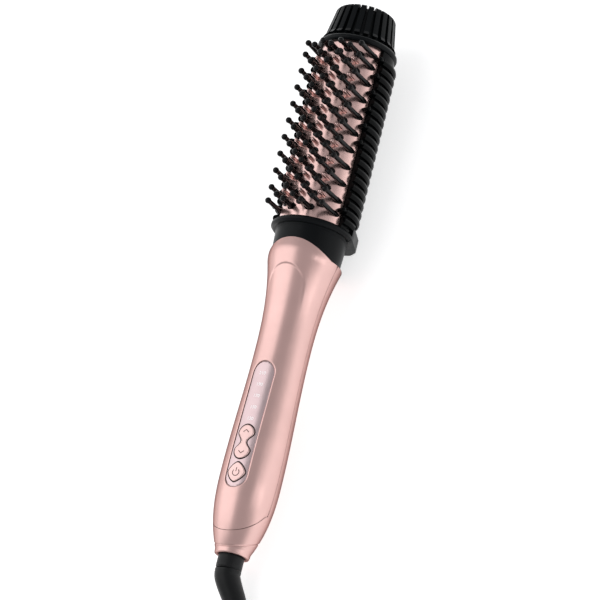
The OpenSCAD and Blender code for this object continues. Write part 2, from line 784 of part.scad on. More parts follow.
leaf_t = 0.7;
module clamp_springs() {
    low = beam_z + beam_t;
    high = spreader_z - heater_t - 0.2;
    rise = high - low - leaf_t;
    bow = [for (i = [-8 : 8]) [i / 8 * (heater_l / 2 - 3), low + rise * (1 + cos(i / 8 * 180)) / 2]];
    color("lightsteelblue") rest()
        for (i = [0, 1])
            translate([-5, heater_a + i * heater_step + heater_l / 2, 0]) rotate([90, 0, 90])
                linear_extrude(10) polygon(concat(bow, [for (p = reversed(bow)) [p[0], p[1] + leaf_t]]));
}

fuse_x = 13;
module thermal_fuse()
    color("gold") rest() rod(fuse_x, spreader_z - 2.1, heater_a + 20, 14, 2);

module temperature_sensor()
    color("orangered") rest() rod(-fuse_x, spreader_z - 1.7, heater_a + 22, 8, 1.6);

module insulator_ring()
    color("linen") rest()
        tube(barrel_a + spigot_l + rest_gap, 4, inner_r - strip_t - 0.2, inner_r - strip_t - 2.2);

// ---- tip cap
crown_a = cap_a + cap_l;
fin_a = cap_a + cap_flange_l + 4.6;
cap_bore_r = tube_r - 0.7;
module tip_cap()
    color(coal) rest() difference() {
        union() {
            around() polygon(cap_core());
            intersection() {
                around() polygon(fin_outline());
                union() for (i = [0 : fins / 2 - 1])
                    rotate([0, (i + 0.5) * 360 / fins, 0]) slab(fin_w / 2, fin_a - 3, 40, -40, 40);
            }
            tube(cap_a - cap_spigot_l, cap_spigot_l + 0.5, inner_r - 0.2, cap_bore_r);
        }
        tube(cap_boss_a + boss_t + rest_gap, 30, screw_r + 0.2);
        tube(crown_a - crown_hollow - 3, 30, head_r + 0.2);
    }

// Solid of the cap without its fins: a rounded flange, a hollow curve and a core with a dished end
function cap_core() =
    let (in_r = fin_r - fin_deep, r = cap_flange_l / 2,
        cove = [for (i = [0 : 6]) let (q = 15 * i)
            [in_r + (cap_flange_r - 1.2 - in_r) * (1 - sin(q)), cap_a + cap_flange_l + 4.2 * (1 - cos(q))]])
    concat([[0, cap_a], [cap_flange_r - r, cap_a]],
        [for (q = [-75 : 25 : 75]) [cap_flange_r - r + r * cos(q), cap_a + r + r * sin(q)]],
        cove,
        [[crown_r - fin_deep, crown_a - 4], [crown_r - fin_deep - 1.2, crown_a - 1.6]],
        [for (i = [0 : 6]) let (x = 1 - i / 6)
            [(crown_r - fin_deep - 2) * x, crown_a - crown_hollow + (crown_hollow - 1) * x * x]]);

function fin_outline() =
    let (round_r = 2.2)
    concat([[6, fin_a - 2.5], [fin_r + 1.4, fin_a - 2.5], [fin_r + 0.3, fin_a - 0.6], [fin_r, fin_a + 1]],
        [for (q = [0 : 15 : 105]) [crown_r - round_r + round_r * cos(q), crown_a - round_r + round_r * sin(q)]],
        [[crown_r - 6, crown_a - 1.8], [6, crown_a - crown_hollow - 1]]);

module cap_screw()
    color("silver") rest() {
        head_a = crown_a - crown_hollow - 3;
        tube(head_a + 0.1, 1.8, head_r);
        tube(cap_boss_a + 0.5, head_a - cap_boss_a, screw_r);
    }

// ---- swivel of the cord
flange_in_a = bore_a + 0.5;
rotor_end = 24;
module swivel_rotor()
    color(coal) rest() {
        around() polygon([[0, -sleeve_out], [sleeve_r - 0.4, -sleeve_out], [sleeve_r, -sleeve_out + 0.8],
            [sleeve_r, flange_in_a], [sleeve_r + 1.6, flange_in_a], [sleeve_r + 1.6, flange_in_a + 1.8],
            [swivel_r, flange_in_a + 1.8], [swivel_r, rotor_end], [0, rotor_end]]);
    }

housing_a = flange_in_a + 2.1;
housing_l = frame_a - rest_gap - housing_a;
module swivel_housing()
    color("gray") rest()
        tube(housing_a, housing_l, handle_r(housing_a) - shell_wall - rest_gap, swivel_r + running);

module swivel_contacts()
    color("gold") rest() {
        tube(rotor_end + rest_gap, 0.8, swivel_r - 0.3);
        tube(rotor_end + rest_gap + 1.1, 0.8, swivel_r - 0.3);
    }

// ---- mains lead, in table coordinates
cord_r = cord_d / 2;
function on_table(p) =
    let (a = p[1] - middle_a, c = cos(rest_tilt), s = sin(rest_tilt))
    [p[0], a * c - p[2] * s - ends_differ, a * s + p[2] * c + axis_h];
axis_dir = [0, -cos(rest_tilt), -sin(rest_tilt)];
boot_start = on_table([0, -sleeve_out - rest_gap, 0]);
// Middle line of the bent boot behind the sleeve
boot_route = [[0.2, -172, 14.4], [1.6, -175.5, 13.5], [4, -180, 12], [6.8, -185, 10.3],
    [9.6, -190.5, 8.6], [12.2, -196, 7.1], [14.6, -201.5, 5.9], [17, -207, 4.9]];
// Middle line of the lead on its way to the hank
lead_route = [[17.9, -213, 4.1], [18.9, -220, 3.5], [19.7, -227, 3.4]];

// The hank: flat loops piled in four layers, with its middle at hank_x, hank_y
hank_x = -7;
hank_y = -305;
hank_z = tie_t + 0.1 + cord_r;
hank_out_r = fold_r + hank_pitch;
half_run = hank_run / 2;
layers = 4;
towards_plug = [0, -1, 0];

// A loop counts 12 steps: 1 along each half of a run and 4 round each fold
function hank_r(t) = hank_out_r - hank_pitch * (t < 0 ? t : abs(t - 2 * round(t / 2)));
function hank_climb(t) = let (n = round(t)) n < 1 ? 0 : n >= layers ? layers - 1
    : n - 1 + min(1, max(0, 0.5 + 6 * (t - n)));
function drawn_in(y) = waist_in * pow(cos(90 * y / half_run), 2);
function hank_point(t) =
    let (q = 12 * (t - floor(t)), r = hank_r(t), z = hank_z + hank_step * hank_climb(t))
    q <= 1 ? let (y = -half_run * q) [hank_x + r - drawn_in(y), hank_y + y, z]
    : q < 5 ? let (w = -45 * (q - 1)) [hank_x + r * cos(w), hank_y - half_run + r * sin(w), z]
    : q <= 7 ? let (y = half_run * (q - 6)) [hank_x - r + drawn_in(y), hank_y + y, z]
    : q < 11 ? let (w = 180 - 45 * (q - 7)) [hank_x + r * cos(w), hank_y + half_run + r * sin(w), z]
    : let (y = half_run * (12 - q)) [hank_x + r - drawn_in(y), hank_y + y, z];

// After its last loop the lead rises to the plug, which lies on the tie
hank_top = hank_z + (layers - 1) * hank_step + cord_r;
plug_z = hank_top + tie_t + 3 * rest_gap + plug_h / 2;
plug_x = hank_x + 17;
rise_l = 50;
hank_exit = hank_point(layers - 1 / 12);
rise_end = [plug_x, hank_exit[1] - rise_l, plug_z];
function smooth(s) = s * s * (3 - 2 * s);
loop_rings = 24;
rise_rings = 8;
hank_start = hank_point(-1 / 12) - cord_d * towards_plug;
plug_start = rise_end + cord_d * towards_plug;
hank_route = concat([hank_start],
    [for (i = [-2 : layers * loop_rings - 2]) hank_point(i / loop_rings)],
    [for (i = [1 : rise_rings]) let (s = i / rise_rings, m = smooth(s))
        [hank_exit[0] + m * (plug_x - hank_exit[0]), hank_exit[1] - s * rise_l,
            hank_exit[2] + m * (plug_z - hank_exit[2])]],
    [plug_start]);

function unit(v) = v / norm(v);
function directions(path, first, last) =
    [for (i = [0 : len(path) - 1]) i == 0 ? first : i == len(path) - 1 ? last : unit(path[i + 1] - path[i - 1])];
function ring_points(centre, dir, r, sides) =
    let (across = unit(cross(dir, [0, 0, 1])), up = cross(across, dir))
    [for (j = [0 : sides - 1]) centre + r * (cos(360 * j / sides) * across + sin(360 * j / sides) * up)];
function sweep_faces(rings, sides) =
    let (last = (rings - 1) * sides)
    concat([for (j = [1 : sides - 2]) [0, j + 1, j]],
        [for (i = [0 : rings - 2], j = [0 : sides - 1]) let (k = (j + 1) % sides)
            each [[i * sides + j, i * sides + k, (i + 1) * sides + k],
                [i * sides + j, (i + 1) * sides + k, (i + 1) * sides + j]]],
        [for (j = [1 : sides - 2]) [last, last + j, last + j + 1]]);

// A tube swept along a path, with one radius for each ring
module swept(path, dirs, radii, sides)
    polyhedron(points = [for (i = [0 : len(path) - 1]) each ring_points(path[i], dirs[i], radii[i], sides)],
        faces = sweep_faces(len(path), sides), convexity = 8);

boot_path = concat([boot_start], boot_route);
cord_path = concat([boot_route[len(boot_route) - 1]], lead_route, [hank_start]);
boot_tip_dir = unit(lead_route[0] - boot_route[len(boot_route) - 2]);
boot_top_r = sleeve_r + 0.2;
boot_tip_r = cord_r + 1.2;

module strain_relief()
    color(coal) {
        n = len(boot_path) - 1;
        radii = [for (i = [0 : n]) let (s = i / n) boot_top_r + (boot_tip_r - boot_top_r) * pow(s, 1.4)];
        swept(boot_path, directions(boot_path, axis_dir, boot_tip_dir), radii, 20);
    }

module cord()
    color(coal)
        swept(cord_path, directions(cord_path, boot_tip_dir, towards_plug), [for (p = cord_path) cord_r], 12);

module cord_hank()
    color(coal)
        swept(hank_route, directions(hank_route, towards_plug, towards_plug), [for (p = hank_route) cord_r], 6);

// Least gap between the loops, measured between points a quarter of a ring step apart along the tube
function fine(path) =
    [for (i = [0 : len(path) - 2], f = [0 : 0.25 : 0.75]) path[i] + f * (path[i + 1] - path[i])];
function least_gap(path, apart) =
    min([for (i = [0 : len(path) - 1 - apart]) min([for (j = [i + apart : len(path) - 1]) norm(path[i] - path[j])])])
    - cord_d;
echo(least_gap_of_hank = least_gap(fine(hank_route), 2 * loop_rings));

module cord_tie() {
    half = hank_out_r - waist_in + cord_r + 2 * rest_gap;
    high = hank_top + rest_gap;
    color("black") translate([hank_x, hank_y + tie_w / 2, 0]) rotate([90, 0, 0]) linear_extrude(tie_w)
        difference() {
            translate([-half - tie_t, 0]) square([2 * (half + tie_t), high + tie_t]);
            translate([-half, tie_t]) square([2 * half, high - tie_t]);
        }
}

plug_corner = 6;
plug_neck_l = 14;
plug_neck_r = cord_r + 1.2;
module plug_body() {
    half_w = plug_w / 2 - plug_corner;
    half_h = plug_h / 2 - plug_corner;
    color(coal) translate(plug_start) rotate([90, 0, 0]) {
        cylinder(r1 = plug_neck_r, r2 = plug_neck_r + 1.6, h = plug_neck_l, $fn = 32);
        translate([0, 0, plug_neck_l]) linear_extrude(plug_l) {
            square([plug_w, 2 * half_h], center = true);
            square([2 * half_w, plug_h], center = true);
            for (x = [-1, 1], y = [-1, 1])
                translate([x * half_w, y * half_h]) circle(plug_corner, $fn = 32);
        }
    }
}

blade_w = 6.3;
blade_t = 1.5;
module plug_pins()
    color("gold") translate(plug_start) rotate([90, 0, 0])
        for (x = [-1, 1])
            translate([x * blade_pitch / 2 - blade_t / 2, -blade_w / 2, plug_neck_l + plug_l])
                cube([blade_t, blade_w, blade_l]);

front_shell();
rear_shell();
shell_screws();
control_panel();
temp_rocker();
power_button();
control_board();
tact_switches();
button_pad();
indicator_leds();
light_guide();
power_board();
power_components();
inner_frame();
terminal_block();
lead_wires();
collar();
heater_plate();
tooth_strip(0);  // tooth_strip_1
tooth_strip(1);  // tooth_strip_2
tooth_strip(2);  // tooth_strip_3
tooth_strip(3);  // tooth_strip_4
tooth_strip(4);  // tooth_strip_5
tooth_strip(5);  // tooth_strip_6
tooth_strip(6);  // tooth_strip_7
rib_cover();
heat_spreader();
ptc_heaters();
clamp_springs();
thermal_fuse();
temperature_sensor();
insulator_ring();
tip_cap();
cap_screw();
swivel_rotor();
swivel_housing();
swivel_contacts();
strain_relief();
cord();
cord_hank();
cord_tie();
plug_body();
plug_pins();
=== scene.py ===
import json
import math
from contextlib import contextmanager

import bmesh
import bpy
from mathutils import Matrix, Vector


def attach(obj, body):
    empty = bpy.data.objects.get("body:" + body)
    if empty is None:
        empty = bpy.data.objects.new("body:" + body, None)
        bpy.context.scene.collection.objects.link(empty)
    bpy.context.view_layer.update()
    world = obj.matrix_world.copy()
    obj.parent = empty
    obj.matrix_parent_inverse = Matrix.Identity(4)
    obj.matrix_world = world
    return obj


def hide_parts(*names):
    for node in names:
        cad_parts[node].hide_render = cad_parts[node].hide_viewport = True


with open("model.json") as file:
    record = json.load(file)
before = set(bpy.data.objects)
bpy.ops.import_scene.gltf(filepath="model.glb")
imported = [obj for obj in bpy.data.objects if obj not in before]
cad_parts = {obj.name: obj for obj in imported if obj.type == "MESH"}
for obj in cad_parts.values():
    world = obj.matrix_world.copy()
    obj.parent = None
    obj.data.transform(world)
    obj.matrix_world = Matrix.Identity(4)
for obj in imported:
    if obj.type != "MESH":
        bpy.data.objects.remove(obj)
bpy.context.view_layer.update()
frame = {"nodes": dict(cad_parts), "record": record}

MM = 0.001

# ---------------------------------------------------------------- sizes of the brush, in millimetres
# The same driving dimensions as the construction. Y runs along the brush from the tail rim to the
# tip, Z points out through the teeth and X to the right. Names that end in _A are distances along
# the brush, those in _R are radii and those in _L are lengths.
HANDLE_L = 173.5
COLLAR_L = 20.8
BARREL_L = 110.0
CAP_L = 25.7
TOTAL_L = HANDLE_L + COLLAR_L + BARREL_L + CAP_L
BARREL_A = HANDLE_L + COLLAR_L
CAP_A = BARREL_A + BARREL_L
SLEEVE_OUT = 7.5
SLEEVE_R = 7.25
CROWN_R = 17.8

TAIL_R = 9.7
TAIL_RING = 3.0
TAIL_FLARE = 0.1
BELLY_R = 17.3
BELLY_A = 45.0
BELLY_POWER = 2.5
NECK_R = 15.4
NECK_A = 120.0
LIP_R = 21.65
LIP_POWER = 2.4

FOOT_DROP = 25.2
FOOT_L = 10.0
FOOT_A = BARREL_A + 5.8 - FOOT_L / 2


def handle_r(a):
    """Radius of the handle's surface at a distance from the tail rim."""
    if a < TAIL_RING:
        return TAIL_R + TAIL_FLARE * a
    if a < BELLY_A:
        part = 1 - (a - TAIL_RING) / (BELLY_A - TAIL_RING)
        return BELLY_R - (BELLY_R - TAIL_R - TAIL_FLARE * TAIL_RING) * max(0.0, part) ** BELLY_POWER
    if a < NECK_A:
        part = (1 + math.cos(math.pi * (a - BELLY_A) / (NECK_A - BELLY_A))) / 2
        return NECK_R + (BELLY_R - NECK_R) * part
    return NECK_R + (LIP_R - NECK_R) * ((a - NECK_A) / (HANDLE_L - NECK_A)) ** LIP_POWER


# How the brush lies: on its foot and on the belly of its handle
TOUCH_A = BELLY_A - 5
TILT = math.atan((FOOT_DROP - handle_r(TOUCH_A)) / (FOOT_A - TOUCH_A))
MIDDLE_A = (TOTAL_L - SLEEVE_OUT) / 2
AXIS_H = FOOT_DROP * math.cos(TILT) - (FOOT_A - MIDDLE_A) * math.sin(TILT)
ENDS_DIFFER = (CROWN_R - SLEEVE_R) * math.sin(TILT) / 2
LYING = (Matrix.Translation((0, -ENDS_DIFFER, AXIS_H)) @ Matrix.Rotation(TILT, 4, "X")
         @ Matrix.Translation((0, -MIDDLE_A, 0)))
PLACE = Matrix.Scale(MM, 4) @ LYING
ON_TABLE = Matrix.Scale(MM, 4)


# ---------------------------------------------------------------- helpers
MERGE = 1e-6        # metres, under which two points are one


def link(obj):
    """Puts an object in the scene."""
    bpy.context.scene.collection.objects.link(obj)
    return obj


def mesh_object(name, points, faces, place=PLACE):
    """A mesh from points in millimetres, put in place by a matrix, or left as it is without one."""
    mesh = bpy.data.meshes.new(name)
    mesh.from_pydata([tuple(map(float, p)) for p in points], [], [tuple(map(int, f)) for f in faces])
    if place is not None:
        mesh.transform(place)
    mesh.validate()
    mesh.update()
    return link(bpy.data.objects.new(name, mesh))


@contextmanager
def editing(mesh):
    """Opens a mesh for editing, and writes it back."""
    bm = bmesh.new()
    bm.from_mesh(mesh)
    yield bm
    bm.to_mesh(mesh)
    bm.free()


def shade_smooth(mesh, angle):
    """Shades a mesh smoothly, but for edges that are sharper than an angle in degrees."""
    for face in mesh.polygons:
        face.use_smooth = True
    mesh.set_sharp_from_angle(angle=math.radians(angle))


def outward(obj):
    """Turns an object's faces outwards."""
    with editing(obj.data) as bm:
        bmesh.ops.recalc_face_normals(bm, faces=bm.faces)
    return obj


def tidy(obj, angle=35.0):
    """Joins points that coincide, turns the faces outwards and shades smoothly up to an angle."""
    with editing(obj.data) as bm:
        bmesh.ops.remove_doubles(bm, verts=bm.verts, dist=MERGE)
        bmesh.ops.dissolve_degenerate(bm, edges=bm.edges, dist=MERGE / 10)
        bmesh.ops.recalc_face_normals(bm, faces=bm.faces)
    shade_smooth(obj.data, angle)
    return obj


def join(name, parts):
    """Joins several mesh objects into one."""
    bm = bmesh.new()
    for part in parts:
        old = part.data
        bm.from_mesh(old)
        bpy.data.objects.remove(part)
        bpy.data.meshes.remove(old)
    mesh = bpy.data.meshes.new(name)
    bm.to_mesh(mesh)
    bm.free()
    shade_smooth(mesh, 40)
    return link(bpy.data.objects.new(name, mesh))


def ring_faces(rings, n, closed=False):
    """Faces between neighbouring rings of n points, and from the last to the first where closed."""
    return [(i * n + j, i * n + (j + 1) % n, (i + 1) % rings * n + (j + 1) % n, (i + 1) % rings * n + j)
            for i in range(rings if closed else rings - 1) for j in range(n)]


def end_faces(rings, n):
    """The flat faces that close the first and the last of several rings of n points."""
    return [tuple(range(n - 1, -1, -1)), tuple((rings - 1) * n + j for j in range(n))]


def smoothstep(s):
    """Rises smoothly from 0 to 1 while s does."""
    s = min(1.0, max(0.0, s))
    return s * s * (3 - 2 * s)


# ---------------------------------------------------------------- camera
# Fitted to the photograph's regular grid of teeth and ribs; its place is in metres.
CAMERA_LENS = 178.3
CAMERA_SENSOR = 36.0
CAMERA_AT = (0.832893, -0.603711, 1.336441)
CAMERA_RIGHT = (0.865440, 0.252117, -0.432955)
CAMERA_UP = (-0.044415, 0.899366, 0.434935)
CAMERA_BACK = (0.499039, -0.357181, 0.789545)


def make_camera():
    """The photograph's own view."""
    data = bpy.data.cameras.new("camera")
    data.lens = CAMERA_LENS
    data.sensor_width = CAMERA_SENSOR
    data.clip_start = 0.05
    data.clip_end = 20.0
    camera = link(bpy.data.objects.new("camera", data))
    turn = Matrix((CAMERA_RIGHT, CAMERA_UP, CAMERA_BACK)).transposed().to_4x4()
    camera.matrix_world = Matrix.Translation(CAMERA_AT) @ turn
    bpy.context.scene.camera = camera


make_camera()


# ---------------------------------------------------------------- the mains lead, in table millimetres
CORD_R = 3.25
BOOT_ROUTE = [(0.2, -172, 14.4), (1.6, -175.5, 13.5), (4, -180, 12), (6.8, -185, 10.3),
              (9.6, -190.5, 8.6), (12.2, -196, 7.1), (14.6, -201.5, 5.9), (17, -207, 4.9)]
LEAD_ROUTE = [(17.9, -213, 4.1), (18.9, -220, 3.5), (19.7, -227, 3.4)]
BOOT_GAP = 0.08
BOOT_TOP_R = SLEEVE_R + 0.05
BOOT_TIP_R = CORD_R + 1.2
BOOT_TAPER = 1.4
BOOT_CHAMFER = 0.08
BOOT_TIP_ROUND = (0.4, 0.15)
FOLD_R = 19.5           # the inner bends
HANK_RUN = 130.0        # from one row of bends to the other
HANK_PITCH = 7.1        # between the inner and the outer loops
HANK_STEP = 7.0         # between two layers
CLIMB = 6               # the lead climbs to the next layer within one part in six of a loop
LOOP_STEPS = 96
WAIST_IN = 5.0
TIE_T = 0.8
TIE_W = 12.0
TIE_EDGE = 0.25
TIE_CORNER = 6.0
HANK_X = -7.0
HANK_Y = -305.0
HANK_Z = TIE_T + 0.1 + CORD_R
HALF_RUN = HANK_RUN / 2
LAYERS = 4
REST_GAP = 0.3
HANK_TOP = HANK_Z + (LAYERS - 1) * HANK_STEP + CORD_R
PLUG_H = 14.0
PLUG_W = 26.0
PLUG_L = 30.0
PLUG_CORNER = 4.5
PLUG_X = HANK_X + 17
PLUG_Z = HANK_TOP + TIE_T + 3 * REST_GAP + PLUG_H / 2
RISE_L = 50.0
RISE_STEPS = 16
NECK_L = 14.0
NECK_RIBS = 4
NECK_GROOVE = 0.45
NECK_STEPS = 48
NECK_START_R = CORD_R + 1.2
NECK_END_R = CORD_R + 2.8
GRIP_HALF = (0.55, 1.1, 3.4)
GRIP_PITCH = 6
GRIP_SUNK = 0.25


def hank_point(t):
    """A point of the hank after t loops: flat loops piled in layers, drawn in by the tie at their waist."""
    near = round(t / 2)
    r = FOLD_R + HANK_PITCH - HANK_PITCH * (t if t < 0 else abs(t - 2 * near))
    n = round(t)
    layer = 0 if n < 1 else LAYERS - 1 if n >= LAYERS else n - 1 + min(1, max(0, 0.5 + CLIMB * (t - n)))
    z = HANK_Z + HANK_STEP * layer

    def drawn_in(y):
        return WAIST_IN * math.cos(math.pi / 2 * y / HALF_RUN) ** 2

    # a loop in twelve parts: half a straight, a bend of four, a straight, a bend, half a straight
    q = 12 * (t - math.floor(t))
    if q <= 1:
        y = -HALF_RUN * q
        return Vector((HANK_X + r - drawn_in(y), HANK_Y + y, z))
    if q < 5:
        w = -math.pi / 4 * (q - 1)
        return Vector((HANK_X + r * math.cos(w), HANK_Y - HALF_RUN + r * math.sin(w), z))
    if q <= 7:
        y = HALF_RUN * (q - 6)
        return Vector((HANK_X - r + drawn_in(y), HANK_Y + y, z))
    if q < 11:
        w = math.pi - math.pi / 4 * (q - 7)
        return Vector((HANK_X + r * math.cos(w), HANK_Y + HALF_RUN + r * math.sin(w), z))
    y = HALF_RUN * (12 - q)
    return Vector((HANK_X + r - drawn_in(y), HANK_Y + y, z))


def through(points, count):
    """A smooth line through points, with a number of steps between each two."""
    p = [Vector(x) for x in points]
    p = [2 * p[0] - p[1]] + p + [2 * p[-1] - p[-2]]
    line = []
    for i in range(1, len(p) - 2):
        for k in range(count):
            s = k / count
            line.append(0.5 * (2 * p[i] + (p[i + 1] - p[i - 1]) * s
                               + (2 * p[i - 1] - 5 * p[i] + 4 * p[i + 1] - p[i + 2]) * s * s
                               + (3 * p[i] - p[i - 1] - 3 * p[i + 1] + p[i + 2]) * s ** 3))
    return line + [p[-2]]


def cord_line():
    """Middle line of the lead, from the boot's tip to the plug."""
    margin = LOOP_STEPS // 12
    start = hank_point(-1 / 12) + Vector((0, 2 * CORD_R, 0))
    lead = through([BOOT_ROUTE[-1], *LEAD_ROUTE, start], 4)
    hank = [hank_point(i / LOOP_STEPS) for i in range(-margin, LAYERS * LOOP_STEPS - margin + 1)]
    last = hank[-1]
    rise = []
    for i in range(1, RISE_STEPS + 1):
        s = i / RISE_STEPS
        m = smoothstep(s)
        rise.append(Vector((last.x + m * (PLUG_X - last.x), last.y - s * RISE_L,
                            last.z + m * (PLUG_Z - last.z))))
    end = rise[-1] + Vector((0, -2 * CORD_R, 0))
    return lead + hank + rise + [end]


def sweep(name, line, radii, sides):
    """A tube of changing radius along a line, in table millimetres, with flat ends."""
    points = []
    n = len(line)
    for i, p in enumerate(line):
        ahead = (line[min(i + 1, n - 1)] - line[max(i - 1, 0)]).normalized()
        across = ahead.cross(Vector((0, 0, 1))).normalized()
        up = across.cross(ahead)
        for j in range(sides):
            w = 2 * math.pi * j / sides
            points.append(p + radii[i] * (math.cos(w) * across + math.sin(w) * up))
    return mesh_object(name, points, ring_faces(n, sides) + end_faces(n, sides), ON_TABLE)


def make_cord():
    """The lead with its hank, and the line it follows."""
    line = cord_line()
    cord = tidy(sweep("mains_lead", line, [CORD_R] * len(line), 20))
    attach(cord, "handle")
    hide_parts("cord", "cord_hank")
    return cord, line


def make_boot():
    """The bent, tapered strain relief behind the swivel's sleeve."""
    start = LYING @ Vector((0, -SLEEVE_OUT - BOOT_GAP, 0))
    line = through([start, *BOOT_ROUTE], 6)
    total = len(line) - 1
    radii = [BOOT_TOP_R + (BOOT_TIP_R - BOOT_TOP_R) * (i / total) ** BOOT_TAPER for i in range(total + 1)]
    radii[0] -= BOOT_CHAMFER
    for i, less in enumerate(BOOT_TIP_ROUND):
        radii[total - i] -= less
    boot = tidy(sweep("boot", line, radii, 40))
    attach(boot, "handle")
    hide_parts("strain_relief")
    return boot


def rounded_box(name, half, corner, middle, segments=5):
    """A box with rounded edges, from half its sizes and its middle, in table millimetres."""
    bm = bmesh.new()
    bmesh.ops.create_cube(bm, size=2.0)
    bmesh.ops.scale(bm, vec=Vector(half), verts=bm.verts)
    bmesh.ops.bevel(bm, geom=list(bm.edges), offset=corner, segments=segments, profile=0.5, affect="EDGES")
    mesh = bpy.data.meshes.new(name)
    bm.to_mesh(mesh)
    bm.free()
    mesh.transform(ON_TABLE @ Matrix.Translation(middle))
    return tidy(link(bpy.data.objects.new(name, mesh)))


def make_plug():
    """A moulded two-blade plug with a ribbed neck, lying on the hank."""
    start_y = HANK_Y + HALF_RUN - RISE_L - 2 * CORD_R
    line, radii = [], []
    for i in range(NECK_STEPS + 1):
        s = i / NECK_STEPS
        wave = math.sin(2 * math.pi * (NECK_RIBS * s - 0.25)) if 0.06 < s < 0.94 else 0
        line.append(Vector((PLUG_X, start_y - NECK_L * s, PLUG_Z)))
        radii.append(NECK_START_R + (NECK_END_R - NECK_START_R) * s - NECK_GROOVE * max(0.0, wave))
    neck = tidy(sweep("plug_neck", line, radii, 36), 50)
    middle_y = start_y - NECK_L - PLUG_L / 2
    body = rounded_box("plug", (PLUG_W / 2, PLUG_L / 2, PLUG_H / 2), PLUG_CORNER, (PLUG_X, middle_y, PLUG_Z))
    grips = []
    for side in (-1, 1):
        for k in range(3):
            spot = (PLUG_X + side * (PLUG_W / 2 - GRIP_SUNK), middle_y + (k - 1) * GRIP_PITCH, PLUG_Z)
            grips.append(rounded_box(f"grip_{side}_{k}", GRIP_HALF, 0.5, spot, 3))
    return join("plug", [body, neck, *grips])


def make_tie():
    """A flat strap round the hank's waist."""
    half = FOLD_R + HANK_PITCH - WAIST_IN + CORD_R + 2 * REST_GAP
    middle_z = (HANK_TOP + REST_GAP + TIE_T) / 2

    def ring(grow):
        w, h, r = half + grow, middle_z - TIE_T + grow, TIE_CORNER + grow
        pts = []
        for k, (cx, cz) in enumerate(((1, 1), (-1, 1), (-1, -1), (1, -1))):
            for q in range(0, 91, 10):
                ang = math.radians(90 * k + q)
                pts.append((cx * (w - r) + r * math.cos(ang), cz * (h - r) + r * math.sin(ang)))
        return pts

    # the strap's section: how far out from its inner face, and where across its width of -1 to 1
    slim = 1 - 0.06
    section = [(TIE_EDGE, -1), (0, -slim), (0, slim), (TIE_EDGE, 1),
               (TIE_T - TIE_EDGE, 1), (TIE_T, slim), (TIE_T, -slim), (TIE_T - TIE_EDGE, -1)]
    rings = [[(HANK_X + x, HANK_Y + v * TIE_W / 2, middle_z + z) for x, z in ring(u)] for u, v in section]
    points = [p for r in rings for p in r]
    return tidy(mesh_object("tie", points, ring_faces(len(rings), len(rings[0]), True), ON_TABLE))


cord, cord_route = make_cord()
boot = make_boot()
plug = make_plug()
tie = make_tie()
for piece, node, slot in ((plug, "plug_body", "cord_rubber"), (tie, "cord_tie", "black_rubber")):
    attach(piece, "handle")
    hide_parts(node)


# ---------------------------------------------------------------- handle shells
SEAM = 0.25
SEAM_A = 11.3
SEAM_BOW = 34.7
SEAM_BLUNT = 0.61
SKIRT_A = SEAM_A - 1
TONGUE_RISE = 8.5
TONGUE_HALF = 20.4
TONGUE_R = 20.1
TONGUE_A = HANDLE_L + TONGUE_RISE
CREST = 4.0
SHELL_WALL = 1.8
NECK_BORE_R = 18.3
NECK_BORE_A = HANDLE_L - 3.5
BORE_R = SLEEVE_R + 0.4
BORE_A = 7.6
BORE_CHAMFER = 0.4
RIM_EDGE = 0.7
RIM_A = HANDLE_L - 0.6
CREASE_A = 3.6
CREASE_SLANT = 22
CREASE_DEPTH = 0.38
CREASE_HALF = 0.65
THUMB_DEPTH = 0.5
THUMB_HALF = 12.0
THUMB_L = 34.0
THUMB_END = HANDLE_L - 6.5 - THUMB_HALF
THUMB_EDGE = 1.3
PANEL_A = 35.0
PANEL_L = 74.0
PANEL_END = PANEL_A + PANEL_L
PANEL_W = 13.4
PANEL_GAP = 0.15
PANEL_SUNK = 0.45
PANEL_T = 1.6
PANEL_EDGE = 0.5
PANEL_EDGE_DROP = 0.25
PANEL_HALF_TURN = 34
PILL_EDGE = 0.7
PILL_DROP = 0.4
FINE_STEP = 1.25        # degrees
WIDE = LIP_R + 8        # the cutting solids reach past the shells
WIDE_A = BELLY_A + 8
FAR = 40.0


def front_r(a):
    """The front shell's surface: the handle's, and past the lip the tongue, with a softened crest."""
    def sharp(b):
        if b <= HANDLE_L:
            return handle_r(b)
        return LIP_R + (TONGUE_R - LIP_R) * (b - HANDLE_L) / TONGUE_RISE

    if abs(a - HANDLE_L) >= CREST:
        return sharp(a)
    # a cubic that meets both sides in height and slope where the softening starts
    lo, hi = sharp(HANDLE_L - CREST), sharp(HANDLE_L + CREST)
    slope_lo = (lo - sharp(HANDLE_L - CREST - 0.01)) / 0.01
    slope_hi = (TONGUE_R - LIP_R) / TONGUE_RISE
    t = (a - HANDLE_L + CREST) / (2 * CREST)
    d = 2 * CREST
    h00, h10 = (1 + 2 * t) * (1 - t) ** 2, t * (1 - t) ** 2
    h01, h11 = t * t * (3 - 2 * t), t * t * (t - 1)
    return h00 * lo + h10 * d * slope_lo + h01 * hi + h11 * d * slope_hi


def pill_gap(x, a, half, start, end):
    """Distance from the edge of a pill-shaped plan, positive outside it."""
    nearest = min(max(a, start + half), end - half)
    return math.hypot(x, a - nearest) - half


def front_skin_r(w, a):
    """The front shell's surface with the thumb recess and the rounded edge round the panel."""
    r = front_r(a)
    x = r * math.sin(w)
    start = THUMB_END - THUMB_L
    if start < a < THUMB_END + THUMB_HALF:
        inside = THUMB_HALF - math.hypot(x, max(0.0, a - THUMB_END))
        depth = THUMB_DEPTH * ((a - start) / (THUMB_L + THUMB_HALF)) ** 3
        r -= depth * smoothstep(inside / THUMB_EDGE)
    out = pill_gap(x, a, PANEL_W / 2 + PANEL_GAP, PANEL_A - PANEL_GAP, PANEL_END + PANEL_GAP)
    if out < PILL_EDGE:
        r -= PILL_DROP * (1 - max(0.0, out) / PILL_EDGE) ** 2
    return r


